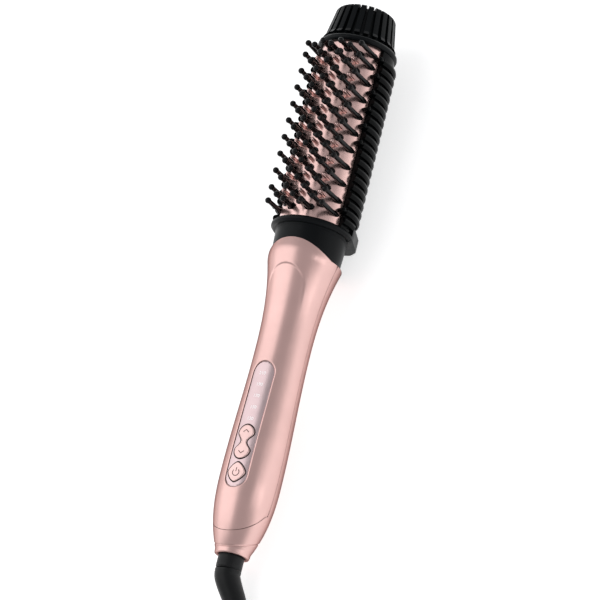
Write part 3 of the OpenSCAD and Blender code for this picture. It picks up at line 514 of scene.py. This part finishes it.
def rear_skin_r(w, a):
    """The rear shell's surface with the fine crease that slants round the tail and its rounded rims."""
    r = handle_r(a)
    off = a - (CREASE_A + (TAIL_R - r * math.cos(w)) * math.tan(math.radians(CREASE_SLANT)))
    r -= CREASE_DEPTH * max(0.0, 1 - (off / CREASE_HALF) ** 2)
    drop = max(0.0, RIM_EDGE - a, a - RIM_A) / RIM_EDGE
    return r - RIM_EDGE * (1 - math.sqrt(max(0.0, 1 - drop * drop)))


def panel_r(w, a):
    """The panel's surface, sunk in the front shell, with a rounded edge."""
    r = handle_r(a) - PANEL_SUNK
    inside = -pill_gap(r * math.sin(w), a, PANEL_W / 2, PANEL_A, PANEL_END)
    return r - PANEL_EDGE_DROP * (1 - smoothstep(inside / PANEL_EDGE))


def steps(start, end, step):
    """Even distances from a start to an end, no further apart than a step."""
    n = max(1, math.ceil((end - start) / step))
    return [start + (end - start) * i / n for i in range(n + 1)]


def graded(zones, end):
    """Distances through zones of (start, step), up to an end."""
    stops = [start for start, _ in zones[1:]] + [end]
    places = [zones[0][0]]
    for (start, step), stop in zip(zones, stops):
        places += steps(start, stop, step)[1:]
    return places


def turned_solid(name, skin, places, inside, half=180.0, step=2.5):
    """A solid turned about the brush's axis, half of its turn to either side, in millimetres and degrees.

    skin gives the radius of its surface at an angle and a distance, places are the distances of
    the surface's points, and inside has the rest of its profile as (radius, distance)."""
    full = half >= 180
    n = round(2 * half / step)
    m = len(places) + len(inside)
    points = []
    for i in range(n if full else n + 1):
        w = math.radians(-half + 2 * half * i / n)
        profile = [(skin(w, a), a) for a in places] + inside
        points += [(r * math.sin(w), a, r * math.cos(w)) for r, a in profile]
    faces = []
    for i in range(n):
        k = (i + 1) % n if full else i + 1
        faces += [(i * m + j, k * m + j, k * m + (j + 1) % m, i * m + (j + 1) % m) for j in range(m)]
    if not full:
        faces += [tuple(range(m)), tuple(n * m + j for j in range(m - 1, -1, -1))]
    return outward(mesh_object(name, points, faces, None))


def prism(name, plan, low, high):
    """A plan of (x, distance) raised from one height to another, in millimetres."""
    n = len(plan)
    points = [(x, a, low) for x, a in plan] + [(x, a, high) for x, a in plan]
    return outward(mesh_object(name, points, end_faces(2, n) + ring_faces(2, n), None))


def combine(obj, operation, other):
    """Cuts an object with another, or keeps what it shares with it, and deletes the other."""
    mod = obj.modifiers.new("cut", "BOOLEAN")
    mod.operation = operation
    mod.solver = "EXACT"
    mod.object = other
    graph = bpy.context.evaluated_depsgraph_get()
    mesh = bpy.data.meshes.new_from_object(obj.evaluated_get(graph))
    obj.modifiers.clear()
    obj.data = mesh
    bpy.data.objects.remove(other)


def surface_normal(surface, w, a):
    """Normal of a surface that is given as a radius at an angle and a distance."""
    def spot(u, b):
        r = surface(u, b)
        return Vector((r * math.sin(u), b, r * math.cos(u)))

    du, db = 0.004, 0.06
    return (spot(w + du, a) - spot(w - du, a)).cross(spot(w, a + db) - spot(w, a - db)).normalized()


def finish_turned(obj, surface):
    """Puts a turned piece in place, with exact normals on its outer surface."""
    merge, on_surface = 2e-4, 0.05
    mesh = obj.data
    with editing(mesh) as bm:
        bmesh.ops.remove_doubles(bm, verts=bm.verts, dist=merge)
        bmesh.ops.dissolve_degenerate(bm, edges=bm.edges, dist=merge / 2)
    shade_smooth(mesh, 30)
    normals = [c.vector.copy() for c in mesh.corner_normals]
    for f in mesh.polygons:
        x, a, z = f.center
        r = math.hypot(x, z)
        faces_out = f.normal.x * x + f.normal.z * z >= 0.5 * r
        if abs(r - surface(math.atan2(x, z), a)) > on_surface or not faces_out:
            continue
        for k in f.loop_indices:
            px, pa, pz = mesh.vertices[mesh.loops[k].vertex_index].co
            normals[k] = surface_normal(surface, math.atan2(px, pz), pa)
    mesh.normals_split_custom_set(normals)
    mesh.transform(PLACE)
    mesh.update()
    return obj


def bow_line(grow=0.0, n=72):
    """The U seam round the tail, from left to right, moved outwards by a gap."""
    hair = 0.004
    pts = []
    for i in range(n + 1):
        q = math.pi * (i / n - 0.5)
        a = SEAM_A + SEAM_BOW * (1 - max(0.0, math.cos(q)) ** SEAM_BLUNT)
        pts.append(Vector(((handle_r(a) + hair) * math.sin(math.pi / 2 * math.sin(q)), a)))
    moved = []
    for i, p in enumerate(pts):
        along = (pts[min(i + 1, n)] - pts[max(i - 1, 0)]).normalized()
        moved.append((p.x + along.y * grow, p.y - along.x * grow))
    return moved


def tongue_line(n=48):
    """The arc that ends the tongue, from right to left."""
    r = (TONGUE_HALF ** 2 + TONGUE_RISE ** 2) / (2 * TONGUE_RISE)
    return [(x, TONGUE_A - r + math.sqrt(r * r - x * x))
            for x in (TONGUE_HALF * (1 - 2 * i / n) for i in range(n + 1))]


def pill(half, start, end, n=32):
    """A plan with straight sides and round ends."""
    pts = []
    for middle, first in ((start + half, math.pi), (end - half, 0)):
        pts += [(half * math.cos(first + math.pi * i / n), middle + half * math.sin(first + math.pi * i / n))
                for i in range(n + 1)]
    return pts


def inner_wall(top):
    """The shells' inner side from a top back to the tail's bore, as (radius, distance)."""
    wall = [(handle_r(a) - SHELL_WALL, a) for a in steps(BORE_A, NECK_BORE_A - 1, 3)]
    return [(NECK_BORE_R, top), (NECK_BORE_R, NECK_BORE_A), *wall[::-1], (BORE_R, BORE_A)]


def make_front_shell():
    """The front shell, with the tongue, the thumb recess and the panel's opening."""
    places = graded([(SKIRT_A, 1.2), (PANEL_A - 2, 0.4), (PANEL_A + 8, 1.5), (PANEL_END - 8, 0.4),
                     (PANEL_END + 2, 1.2), (THUMB_END - 6, 0.45)], TONGUE_A)
    inside = [p for p in inner_wall(TONGUE_A) if p[1] > SKIRT_A]
    inside.append((handle_r(SKIRT_A) - SHELL_WALL, SKIRT_A))
    shell = turned_solid("front_shell_skin", front_skin_r, places, inside, 90, FINE_STEP)
    plan = [*bow_line(), (WIDE, WIDE_A), (WIDE, HANDLE_L), *tongue_line(), (-WIDE, HANDLE_L), (-WIDE, WIDE_A)]
    combine(shell, "INTERSECT", prism("plan", plan, -5, FAR))
    hole = pill(PANEL_W / 2 + PANEL_GAP, PANEL_A - PANEL_GAP, PANEL_END + PANEL_GAP)
    combine(shell, "DIFFERENCE", prism("pill", hole, 0, FAR))
    return finish_turned(shell, front_skin_r)


def make_rear_shell():
    """The rear shell with the closed tail ring, cut away in front of the U seam."""
    places = graded([(0, 0.12), (RIM_EDGE, 0.2), (16, 1.5), (RIM_A, 0.15)], HANDLE_L)
    inside = inner_wall(HANDLE_L) + [(BORE_R, 0.5), (BORE_R + BORE_CHAMFER, 0.0)]
    shell = turned_solid("rear_shell_skin", rear_skin_r, places, inside)
    past = HANDLE_L + 9
    plan = [*bow_line(SEAM), (WIDE, WIDE_A), (WIDE, past), (-WIDE, past), (-WIDE, WIDE_A)]
    combine(shell, "DIFFERENCE", prism("plan", plan, -SEAM, FAR))
    finish_turned(shell, rear_skin_r)
    # the belly rests on the table and doesn't dip below it
    for v in shell.data.vertices:
        v.co.z = max(v.co.z, 0.0)
    return shell


# ---------------------------------------------------------------- panel and buttons
ROCKER_A = 61.0
ROCKER_LOBE = 5.2
ROCKER_HALF = 4.7
ROCKER_WAIST = 1.7
ROCKER_ROUND = 1.15
ROCKER_CLEAR = 0.3
POWER_A = 43.3
POWER_HALF = 5.3
POWER_TALLER = 0.3
POWER_ROUND = 1.45
POWER_CLEAR = 0.16
BUTTON_GAP = 0.35
BUTTON_PROUD = 0.05
BUTTON_T = 2.6
BUTTON_EDGE = 0.5
DISH = 0.12
GAP_SHADE_OUT = 0.63
GAP_SHADE_TOP = -0.33
GAP_SHADE_DEEP = -1.6
MARK_PROUD = BUTTON_PROUD - DISH
MARK_UP = 0.03
MARK_DOWN = -0.2
CHEVRON_W = 0.5
SIGN_W = 0.48
SIGN_R = 2.0
LABEL_A = 74.6
LABEL_PITCH = 6.8
LABEL_SIZE = 2.7


def rocker_outline(grow=0.0, n=16, cap_n=12):
    """Outline of the hourglass rocker, anticlockwise round its pivot."""
    right = []
    for i in range(-n, n + 1):
        t = abs(i) / n
        w = ROCKER_WAIST + (ROCKER_HALF - ROCKER_WAIST) * (1 - math.cos(math.pi * t)) / 2
        right.append((w + grow, ROCKER_LOBE * i / n))
    end = ROCKER_HALF + grow
    turns = [math.pi / 2 * i / cap_n for i in range(1, cap_n)]
    cap = [(end * math.cos(q) ** ROCKER_ROUND, ROCKER_LOBE + end * math.sin(q)) for q in turns]
    side = [(x, -y) for x, y in cap[::-1]] + right + cap
    tip = ROCKER_LOBE + end
    return [(x, ROCKER_A + y) for x, y in [(0, -tip), *side, (0, tip), *[(-x, y) for x, y in side[::-1]]]]


def power_outline(grow=0.0, n=72):
    """Outline of the power button, a rounded square on its corner."""
    pts = []
    for i in range(n):
        c, s = math.cos(math.tau * i / n), math.sin(math.tau * i / n)
        r = (abs(c) ** POWER_ROUND + abs(s) ** POWER_ROUND) ** (-1 / POWER_ROUND)
        pts.append(((POWER_HALF + grow) * r * c, POWER_A + (POWER_HALF + POWER_TALLER + grow) * r * s))
    return pts


def over(x, a, proud):
    """Height of the point over a spot of the plan that stands proud of the handle's surface."""
    return math.sqrt((handle_r(a) + proud) ** 2 - x * x)


def layered(name, rings):
    """A closed solid from rings of points, the first at the bottom."""
    n = len(rings[0])
    points = [p for ring in rings for p in ring]
    last = len(points) - n
    points.append(tuple(sum(c) / n for c in zip(*rings[-1])))
    faces = [tuple(range(n - 1, -1, -1)), *ring_faces(len(rings), n)]
    faces += [(last + j, last + (j + 1) % n, last + n) for j in range(n)]
    return mesh_object(name, points, faces)


def make_button(name, outline, middle):
    """A button's cap with a rounded edge, a faintly dished top and a flat underside."""
    rings = [[(x, a, over(0, a, 0) - BUTTON_T) for x, a in outline(0)],
             [(x, a, over(x, a, BUTTON_PROUD) - BUTTON_EDGE) for x, a in outline(0)]]
    for q in (22, 45, 68, 90):
        w = math.radians(q)
        rings.append([(x, a, over(x, a, BUTTON_PROUD) - BUTTON_EDGE * (1 - math.sin(w)))
                      for x, a in outline(-BUTTON_EDGE * (1 - math.cos(w)))])
    rim = outline(-BUTTON_EDGE)
    for s in (0.93, 0.84, 0.72, 0.58, 0.42, 0.26, 0.12):
        dip = DISH * smoothstep((1 - s) / 0.3)
        inner = [(s * x, middle + s * (a - middle)) for x, a in rim]
        rings.append([(x, a, over(x, a, BUTTON_PROUD) - dip) for x, a in inner])
    return tidy(layered(name, rings), 50)


def make_gap_shade_lining(name, outline, clear):
    """A thin dark lining in a button's opening in the panel, with room for the button to move. Its dark
    colour is painted shade that stands in for the shadow in the gap round the button.
    """
    section = ((clear, GAP_SHADE_DEEP), (clear, GAP_SHADE_TOP - 0.03), (clear + 0.05, GAP_SHADE_TOP),
               (GAP_SHADE_OUT - 0.08, GAP_SHADE_TOP), (GAP_SHADE_OUT, GAP_SHADE_TOP - 0.05), (GAP_SHADE_OUT, GAP_SHADE_DEEP))
    rings = [[(x, a, over(x, a, proud)) for x, a in outline(grow)] for grow, proud in section]
    points = [p for ring in rings for p in ring]
    return tidy(mesh_object(name, points, ring_faces(len(rings), len(rings[0]), True)), 40)


def make_stroke(name, line, width):
    """A fine raised line on a button's top, along points of (x, distance)."""
    pts = [Vector(p) for p in line]
    n = len(pts)
    points = []
    for i, p in enumerate(pts):
        along = (pts[min(i + 1, n - 1)] - pts[max(i - 1, 0)]).normalized()
        side = Vector((-along.y, along.x)) * width / 2
        edges = ((p + side, MARK_DOWN), (p + side, MARK_UP), (p - side, MARK_UP), (p - side, MARK_DOWN))
        for q, lift in edges:
            points.append((q.x, q.y, over(q.x, q.y, MARK_PROUD) + lift))
    last = (n - 1) * 4
    ends = [(0, 1, 2, 3), (last + 3, last + 2, last + 1, last)]
    return tidy(mesh_object(name, points, ring_faces(n, 4) + ends), 30)


def chevron_line(side):
    """A chevron on one lobe of the rocker, that points away from its pivot."""
    return [(x, ROCKER_A + side * (ROCKER_LOBE + 1.7 - 0.85 * abs(x))) for x in (-1.7, -0.85, 0, 0.85, 1.7)]


def power_ring_line():
    """The power sign's ring, open at its top."""
    middle_a = POWER_A - 0.3
    turns = [math.radians(q) for q in range(38, 323, 15)]
    return [(SIGN_R * math.sin(q), middle_a + SIGN_R * math.cos(q)) for q in turns]


def make_panel():
    """The sunk panel with the openings of its two buttons."""
    places = steps(PANEL_A - 1, PANEL_END + 1, 0.6)
    inside = [(handle_r(a) - PANEL_SUNK - PANEL_T, a) for a in places[::-1]]
    panel = turned_solid("panel", panel_r, places, inside, PANEL_HALF_TURN, FINE_STEP)
    combine(panel, "INTERSECT", prism("pill", pill(PANEL_W / 2, PANEL_A, PANEL_END), 0, FAR))
    for outline in (rocker_outline, power_outline):
        combine(panel, "DIFFERENCE", prism("hole", outline(BUTTON_GAP), 0, FAR))
    return finish_turned(panel, panel_r)


def make_number(text, a):
    """A plain number, standing a hair over the panel."""
    data = bpy.data.curves.new("number_" + text, "FONT")
    data.body = text
    data.size = LABEL_SIZE
    data.align_x = "CENTER"
    data.align_y = "CENTER"
    data.extrude = 0.06
    data.offset = 0.02
    data.resolution_u = 3
    source = link(bpy.data.objects.new("source", data))
    graph = bpy.context.evaluated_depsgraph_get()
    mesh = bpy.data.meshes.new_from_object(source.evaluated_get(graph))
    bpy.data.objects.remove(source)
    for v in mesh.vertices:
        x, b = v.co.x, a + v.co.y
        v.co = (x, b, over(x, b, -PANEL_SUNK) + (MARK_UP if v.co.z > 0 else -0.1))
    mesh.transform(PLACE)
    return tidy(link(bpy.data.objects.new("number_" + text, mesh)), 30)


panel = make_panel()
rocker = make_button("rocker", rocker_outline, ROCKER_A)
power = make_button("power", power_outline, POWER_A)
# dark linings in the button openings: painted shade for the gaps round the buttons
gap_shade_linings = [make_gap_shade_lining("rocker_gap_shade", rocker_outline, ROCKER_CLEAR),
         make_gap_shade_lining("power_gap_shade", power_outline, POWER_CLEAR)]
chevrons = [make_stroke("chevron_" + name, chevron_line(side), CHEVRON_W)
            for name, side in (("up", 1), ("down", -1))]
signs = [make_stroke("power_ring", power_ring_line(), SIGN_W),
         make_stroke("power_bar", [(0, POWER_A + 0.1 + 0.6 * i) for i in range(5)], SIGN_W)]
numbers = [make_number(str(130 + 20 * i), LABEL_A + LABEL_PITCH * i) for i in range(5)]

front_skin = make_front_shell()
rear_skin = make_rear_shell()
for piece, body, node, slot in ((front_skin, "handle", "front_shell", "rose_plastic"),
                                (rear_skin, "handle", "rear_shell", "rose_plastic"),
                                (panel, "handle", "control_panel", "panel_plastic"),
                                (rocker, "rocker", "temp_rocker", "button_plastic"),
                                (power, "power", "power_button", "button_plastic")):
    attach(piece, body)
    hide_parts(node)
for pieces, body, slot in ((gap_shade_linings, "handle", "black_plastic"), (chevrons, "rocker", "button_plastic"),
                           (signs, "power", "button_plastic"), (numbers, "handle", "white_plastic")):
    for piece in pieces:
        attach(piece, body)


# ------------------ teeth: seven columns of ball-tipped pins on oval roots, pushed through the plate
PLATE_R = 20.3
STRIP_OUT = 18.45
STRIP_IN = 16.1
STRIP_LOW = 6.0
STRIP_HALF = 2.35
STRIP_START = BARREL_A + 5.4
STRIP_END = CAP_A - 3.4
ROOT_TOP = PLATE_R + 0.6
ROOT_IN = STRIP_OUT - 0.2
COLUMNS = 7
COLUMN_PITCH = 5.77
ROW_PITCH = 5.21
ROW_MARGIN = 4.2
LAST_ROW = 19
END_ROWS = [BARREL_A + 6.4, CAP_A - 4.7]
TOOTH_REACH = 32.05     # from the axis to the middle column's tips
TOOTH_FALL = 3.96       # the outermost columns' tips are lower by this much
TOOTH_TOP_R = 1.3
TOOTH_ROOT_R = 1.62
BALL_R = 1.8
BALL_TURNS = (-30, -15, 0, 15, 30, 45, 60, 75)
OVAL_HALF = 2.97
OVAL_W = 1.87


def tooth_rows(k):
    """Distances of one column's teeth, which stand in every second row."""
    rows = [BARREL_A + ROW_MARGIN + i * ROW_PITCH for i in range(1, LAST_ROW + 1) if i % 2 == k % 2]
    return rows + ([] if k % 2 else END_ROWS)


def arch(r, x):
    """Height of a round surface over a place across the brush."""
    return math.sqrt(max(0.0, r * r - x * x))


def root_reach(x):
    """Half the width of an oval root in the plan, narrower where the plate slopes."""
    return OVAL_HALF * arch(PLATE_R, x) / PLATE_R


def add_part(points, faces, new_points, new_faces):
    """Adds the points and faces of a part to those of a piece."""
    base = len(points)
    points += new_points
    faces += [tuple(base + i for i in face) for face in new_faces]


def strip_band(x):
    """The strip behind the plate, as a prism along the brush."""
    right = min(abs(x) + STRIP_HALF, arch(STRIP_OUT, STRIP_LOW) - 0.05)
    left = abs(x) - STRIP_HALF
    xs = [left + (right - left) * i / 8 for i in range(9)]
    side = 1 if x >= 0 else -1
    section = [(side * v, arch(STRIP_OUT, v)) for v in xs]
    section += [(side * v, max(STRIP_LOW, arch(STRIP_IN, v))) for v in reversed(xs)]
    n = len(section)
    pts = [(v, a, z) for a in (STRIP_START, STRIP_END) for v, z in section]
    return pts, ring_faces(2, n) + end_faces(2, n)


def oval_root(x, a, n=32):
    """The oval block that fills a slot; its top follows the plate's roundness."""
    reach = root_reach(x)
    straight = max(0.0, reach - OVAL_W)
    round_half = min(reach, OVAL_W)
    pts = []
    for r in (ROOT_IN, ROOT_TOP):
        for j in range(n):
            w = 2 * math.pi * (j + 0.5) / n
            v = x + math.copysign(straight, math.cos(w)) + round_half * math.cos(w)
            pts.append((v, min(max(a + OVAL_W * math.sin(w), STRIP_START), STRIP_END), arch(r, v)))
    pts += [(x, a, arch(ROOT_IN, x)), (x, a, arch(ROOT_TOP, x))]
    bottom = [((j + 1) % n, j, 2 * n) for j in range(n)]
    top = [(n + j, n + (j + 1) % n, 2 * n + 1) for j in range(n)]
    return pts, ring_faces(2, n) + bottom + top


def tooth_pin(x, a, top, n=24):
    """One tapered pin with a ball on it, closed at its foot."""
    middle = top - BALL_R
    turns = [-math.degrees(math.acos(TOOTH_TOP_R / BALL_R)), *BALL_TURNS]
    ball = [(BALL_R * math.cos(math.radians(q)), middle + BALL_R * math.sin(math.radians(q))) for q in turns]
    profile = [(min(TOOTH_ROOT_R, root_reach(x)), arch(STRIP_OUT, x)), *ball]
    pts = [(x + r * math.cos(2 * math.pi * j / n), a + r * math.sin(2 * math.pi * j / n), z)
           for r, z in profile for j in range(n)]
    last = len(pts) - n
    pts.append((x, a, top))
    tip = [(last + j, last + (j + 1) % n, last + n) for j in range(n)]
    return pts, ring_faces(len(profile), n) + tip + [tuple(range(n - 1, -1, -1))]


def make_teeth(k):
    """One column: its strip behind the plate, with a root and a pin for each tooth."""
    middle = (COLUMNS - 1) / 2
    x = (k - middle) * COLUMN_PITCH
    top = TOOTH_REACH - TOOTH_FALL * (k / middle - 1) ** 2
    points, faces = [], []
    add_part(points, faces, *strip_band(x))
    for a in tooth_rows(k):
        add_part(points, faces, *oval_root(x, a))
        add_part(points, faces, *tooth_pin(x, a, top))
    column = tidy(mesh_object(f"teeth_{k + 1}", points, faces))
    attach(column, "handle")
    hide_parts(f"tooth_strip_{k + 1}")
    return column


teeth = [make_teeth(k) for k in range(COLUMNS)]


# ---------------------------------------------------------------- floor, world and lamps, in metres
FLOOR_HALF = 6.0
FLOOR_GLOW = 0.66


def make_floor():
    """A pale floor that looks evenly bright to the camera and in reflections."""
    s = FLOOR_HALF
    mesh = bpy.data.meshes.new("floor")
    mesh.from_pydata([(-s, -s, 0), (s, -s, 0), (s, s, 0), (-s, s, 0)], [], [(0, 1, 2, 3)])
    floor = link(bpy.data.objects.new("floor", mesh))
    mat = bpy.data.materials.new("floor")
    mat.use_nodes = True
    nt = mat.node_tree
    nt.nodes.clear()
    out = nt.nodes.new("ShaderNodeOutputMaterial")
    path = nt.nodes.new("ShaderNodeLightPath")
    diffuse = nt.nodes.new("ShaderNodeBsdfDiffuse")
    diffuse.inputs["Color"].default_value = (0.80, 0.80, 0.80, 1)
    glow = nt.nodes.new("ShaderNodeEmission")
    glow.inputs["Color"].default_value = (1, 1, 1, 1)
    either = nt.nodes.new("ShaderNodeMath")
    either.operation = "MAXIMUM"
    seen = nt.nodes.new("ShaderNodeMath")
    seen.operation = "MULTIPLY"
    seen.inputs[1].default_value = FLOOR_GLOW
    add = nt.nodes.new("ShaderNodeAddShader")
    nt.links.new(path.outputs["Is Camera Ray"], either.inputs[0])
    nt.links.new(path.outputs["Is Glossy Ray"], either.inputs[1])
    nt.links.new(either.outputs[0], seen.inputs[0])
    nt.links.new(seen.outputs[0], glow.inputs["Strength"])
    nt.links.new(diffuse.outputs[0], add.inputs[0])
    nt.links.new(glow.outputs[0], add.inputs[1])
    nt.links.new(add.outputs[0], out.inputs["Surface"])
    floor.data.materials.append(mat)


def make_world():
    """A soft room: bright round the horizon, dimmer overhead."""
    world = bpy.data.worlds.new("studio")
    bpy.context.scene.world = world
    world.use_nodes = True
    nt = world.node_tree
    nt.nodes.clear()
    out = nt.nodes.new("ShaderNodeOutputWorld")
    where = nt.nodes.new("ShaderNodeTexCoord")
    split = nt.nodes.new("ShaderNodeSeparateXYZ")
    ramp = nt.nodes.new("ShaderNodeValToRGB")
    soft = nt.nodes.new("ShaderNodeBackground")
    horizon, overhead = ramp.color_ramp.elements
    horizon.position, horizon.color = 0.05, (0.88, 0.88, 0.88, 1)
    overhead.position, overhead.color = 0.34, (0.44, 0.445, 0.455, 1)
    nt.links.new(where.outputs["Generated"], split.inputs[0])
    nt.links.new(split.outputs["Z"], ramp.inputs["Fac"])
    nt.links.new(ramp.outputs["Color"], soft.inputs["Color"])
    nt.links.new(soft.outputs[0], out.inputs["Surface"])


def make_lamp(name, place, target, size, power):
    """A soft white lamp that shines from a place towards a target."""
    data = bpy.data.lights.new(name, "AREA")
    data.shape = "RECTANGLE"
    data.size, data.size_y = size
    data.energy = power
    lamp = link(bpy.data.objects.new(name, data))
    away = (Vector(place) - Vector(target)).normalized()
    lamp.location = place
    lamp.rotation_euler = away.to_track_quat("Z", "Y").to_euler()


make_floor()
make_world()
make_lamp("key", (-0.95, 0.0, 1.1), (0, 0, 0), (1.5, 2.2), 10)
make_lamp("fill", (1.6, 0.1, 0.16), (0, 0, 0.02), (0.28, 2.0), 2.9)
bpy.context.scene.view_settings.view_transform = "Standard"


# ---------------------------------------------------------------- materials
NOISE_RANGE = (0.3, 0.7)    # where nearly all of a noise's values lie


def shade(color, by):
    """A darker or lighter shade of a colour."""
    return tuple(min(1.0, c * by) for c in color)


class Paint:
    """A node material with a few helpers, so that each finish reads as a short recipe."""

    def __init__(self, name, color, roughness, metallic=0.0, coat=0.0, coat_roughness=0.05):
        self.mat = bpy.data.materials.new(name)
        self.mat.use_nodes = True
        self.nt = self.mat.node_tree
        self.base = color
        self.rough = roughness
        self.bsdf = self.nt.nodes["Principled BSDF"]
        self.set("Base Color", (*color, 1))
        self.set("Roughness", roughness)
        self.set("Metallic", metallic)
        self.set("Coat Weight", coat)
        self.set("Coat Roughness", coat_roughness)
        self.where = self.nt.nodes.new("ShaderNodeTexCoord").outputs["Object"]

    def set(self, socket, value):
        """Sets a constant on a socket of the shader."""
        self.bsdf.inputs[socket].default_value = value

    def noise(self, scale, detail, along=1):
        """A noise through the object, drawn out along the brush where along is under 1."""
        node = self.nt.nodes.new("ShaderNodeTexNoise")
        node.inputs["Scale"].default_value = scale
        node.inputs["Detail"].default_value = detail
        where = self.where
        if along != 1:
            drawn = self.nt.nodes.new("ShaderNodeMapping")
            drawn.inputs["Scale"].default_value = (1, along, 1)
            self.nt.links.new(where, drawn.inputs["Vector"])
            where = drawn.outputs[0]
        self.nt.links.new(where, node.inputs["Vector"])
        return node.outputs["Fac"]

    def mottle(self, fac, dark, light):
        """Spreads a noise over two shades of the colour."""
        node = self.nt.nodes.new("ShaderNodeValToRGB")
        for stop, position, by in zip(node.color_ramp.elements, NOISE_RANGE, (dark, light)):
            stop.position = position
            stop.color = (*shade(self.base, by), 1)
        self.nt.links.new(fac, node.inputs["Fac"])
        self.nt.links.new(node.outputs["Color"], self.bsdf.inputs["Base Color"])

    def gloss(self, fac, low, high):
        """Spreads a noise over a low and a high roughness, as parts of the finish's own."""
        node = self.nt.nodes.new("ShaderNodeMapRange")
        node.inputs["From Min"].default_value, node.inputs["From Max"].default_value = NOISE_RANGE
        node.inputs["To Min"].default_value = self.rough * low
        node.inputs["To Max"].default_value = self.rough * high
        self.nt.links.new(fac, node.inputs["Value"])
        self.nt.links.new(node.outputs[0], self.bsdf.inputs["Roughness"])

    def bump(self, fac, strength, distance_mm):
        """Raises the surface by a noise."""
        node = self.nt.nodes.new("ShaderNodeBump")
        node.inputs["Strength"].default_value = strength
        node.inputs["Distance"].default_value = distance_mm * MM
        self.nt.links.new(fac, node.inputs["Height"])
        self.nt.links.new(node.outputs[0], self.bsdf.inputs["Normal"])


def rose_lacquer(name, base, rough):
    """Pearl lacquer: metal flake under a thin clear coat, darker where the view grazes it."""
    p = Paint(name, base, rough, metallic=0.94, coat=0.05, coat_roughness=0.15)
    p.set("Specular Tint", (0.05, 0.03, 0.03, 1))
    p.mottle(p.noise(55, 2), 0.97, 1.04)
    p.gloss(p.noise(420, 2), 0.94, 1.08)
    p.bump(p.noise(330, 1), 0.12, 0.01)
    return p.mat


def moulded(name, base, rough, grain_mm=0.02, scale=1800, gloss=0.4):
    """A moulded plastic or rubber with a fine grain and slightly uneven gloss."""
    p = Paint(name, base, rough)
    p.set("Specular IOR Level", gloss)
    p.mottle(p.noise(70, 3), 0.88, 1.14)
    p.gloss(p.noise(240, 3), 0.88, 1.15)
    p.bump(p.noise(scale, 2), 0.25, grain_mm)
    return p.mat


def turned(name, base, rough):
    """A metal with fine marks along its length."""
    p = Paint(name, base, rough, metallic=1.0)
    p.mottle(p.noise(90, 2), 0.92, 1.06)
    marks = p.noise(900, 2, along=0.08)
    p.gloss(marks, 0.85, 1.2)
    p.bump(marks, 0.1, 0.01)
    return p.mat


def plate_metal():
    """The heated plate: brushed along its length under a thin clear coat."""
    p = Paint("plate_metal", (0.84, 0.56, 0.52), 0.24, metallic=0.9, coat=0.2)
    p.mottle(p.noise(60, 2), 0.96, 1.04)
    fine = p.noise(700, 2, along=0.1)
    p.gloss(fine, 5 / 6, 5 / 4)
    p.bump(fine, 0.06, 0.01)
    return p.mat


def glowing_ink(name, base):
    """White print with a faint painted glow, so that it stays clear on the pale panel."""
    p = Paint(name, base, 0.5)
    p.mottle(p.noise(70, 3), 0.97, 1.03)
    # painted glow: the print gives off a faint light of its own, though it is no lamp
    p.set("Emission Color", (1, 1, 1, 1))
    p.set("Emission Strength", 0.3)
    return p.mat


FINISHES = {
    "rose_plastic": rose_lacquer("rose_lacquer", (0.79, 0.515, 0.48), 0.32),
    "panel_plastic": rose_lacquer("panel_lacquer", (0.68, 0.52, 0.53), 0.30),
    "button_plastic": rose_lacquer("button_lacquer", (0.80, 0.56, 0.53), 0.33),
    "mark": moulded("mark_ink", (0.16, 0.075, 0.065), 0.5, 0.004),
    "number": glowing_ink("number_ink_glow", (0.92, 0.90, 0.90)),
    # painted shade: the near-black colour of the linings stands in for the shadow in the gaps round the
    # buttons
    "gap_shade": moulded("gap_shade", (0.035, 0.02, 0.018), 0.5, 0.004),
    "rose_metal": plate_metal(),
    "black_plastic": moulded("black_satin", (0.004, 0.005, 0.006), 0.34, 0.008, 900, gloss=0.11),
    "rib_plastic": moulded("black_ribs", (0.0022, 0.0026, 0.003), 0.24, 0.006, 900, gloss=0.06),
    "tooth_nylon": moulded("black_nylon", (0.003, 0.003, 0.0035), 0.24, 0.004, 900, gloss=0.2),
    "dark_plastic": moulded("dark_frame", (0.05, 0.052, 0.056), 0.5),
    "white_plastic": moulded("white_plastic", (0.72, 0.72, 0.70), 0.45),
    "clear_plastic": moulded("milky_guide", (0.80, 0.82, 0.84), 0.3),
    "silicone": moulded("silicone", (0.50, 0.50, 0.50), 0.55),
    "board": moulded("board", (0.03, 0.16, 0.07), 0.38, 0.02, 900),
    "wire_sleeve": moulded("wire_sleeve", (0.45, 0.06, 0.04), 0.45),
    "steel": turned("steel", (0.62, 0.62, 0.63), 0.3),
    "aluminium": turned("aluminium", (0.78, 0.78, 0.79), 0.35),
    "brass": turned("brass", (0.78, 0.60, 0.30), 0.28),
    "black_rubber": moulded("black_rubber", (0.006, 0.0065, 0.007), 0.45, 0.02, 1400, gloss=0.25),
    "cord_rubber": moulded("cord_rubber", (0.005, 0.0055, 0.006), 0.40, 0.02, 1500, gloss=0.25),
}


def paint(obj, finish):
    """Gives an object one finish."""
    obj.data.materials.clear()
    obj.data.materials.append(FINISHES[finish])


SLOT_OF = {s["node"]: s["material_slot"] for s in frame["record"]["subparts"]}
for node, obj in frame["nodes"].items():
    paint(obj, SLOT_OF[node])
    shade_smooth(obj.data, 32)
for pieces, finish in (([cord, boot, plug], "cord_rubber"), ([tie], "black_rubber"),
                       ([front_skin, rear_skin], "rose_plastic"), ([panel], "panel_plastic"),
                       ([rocker, power], "button_plastic"), (gap_shade_linings, "gap_shade"), (chevrons + signs, "mark"),
                       (numbers, "number"), (teeth, "tooth_nylon")):
    for piece in pieces:
        paint(piece, finish)
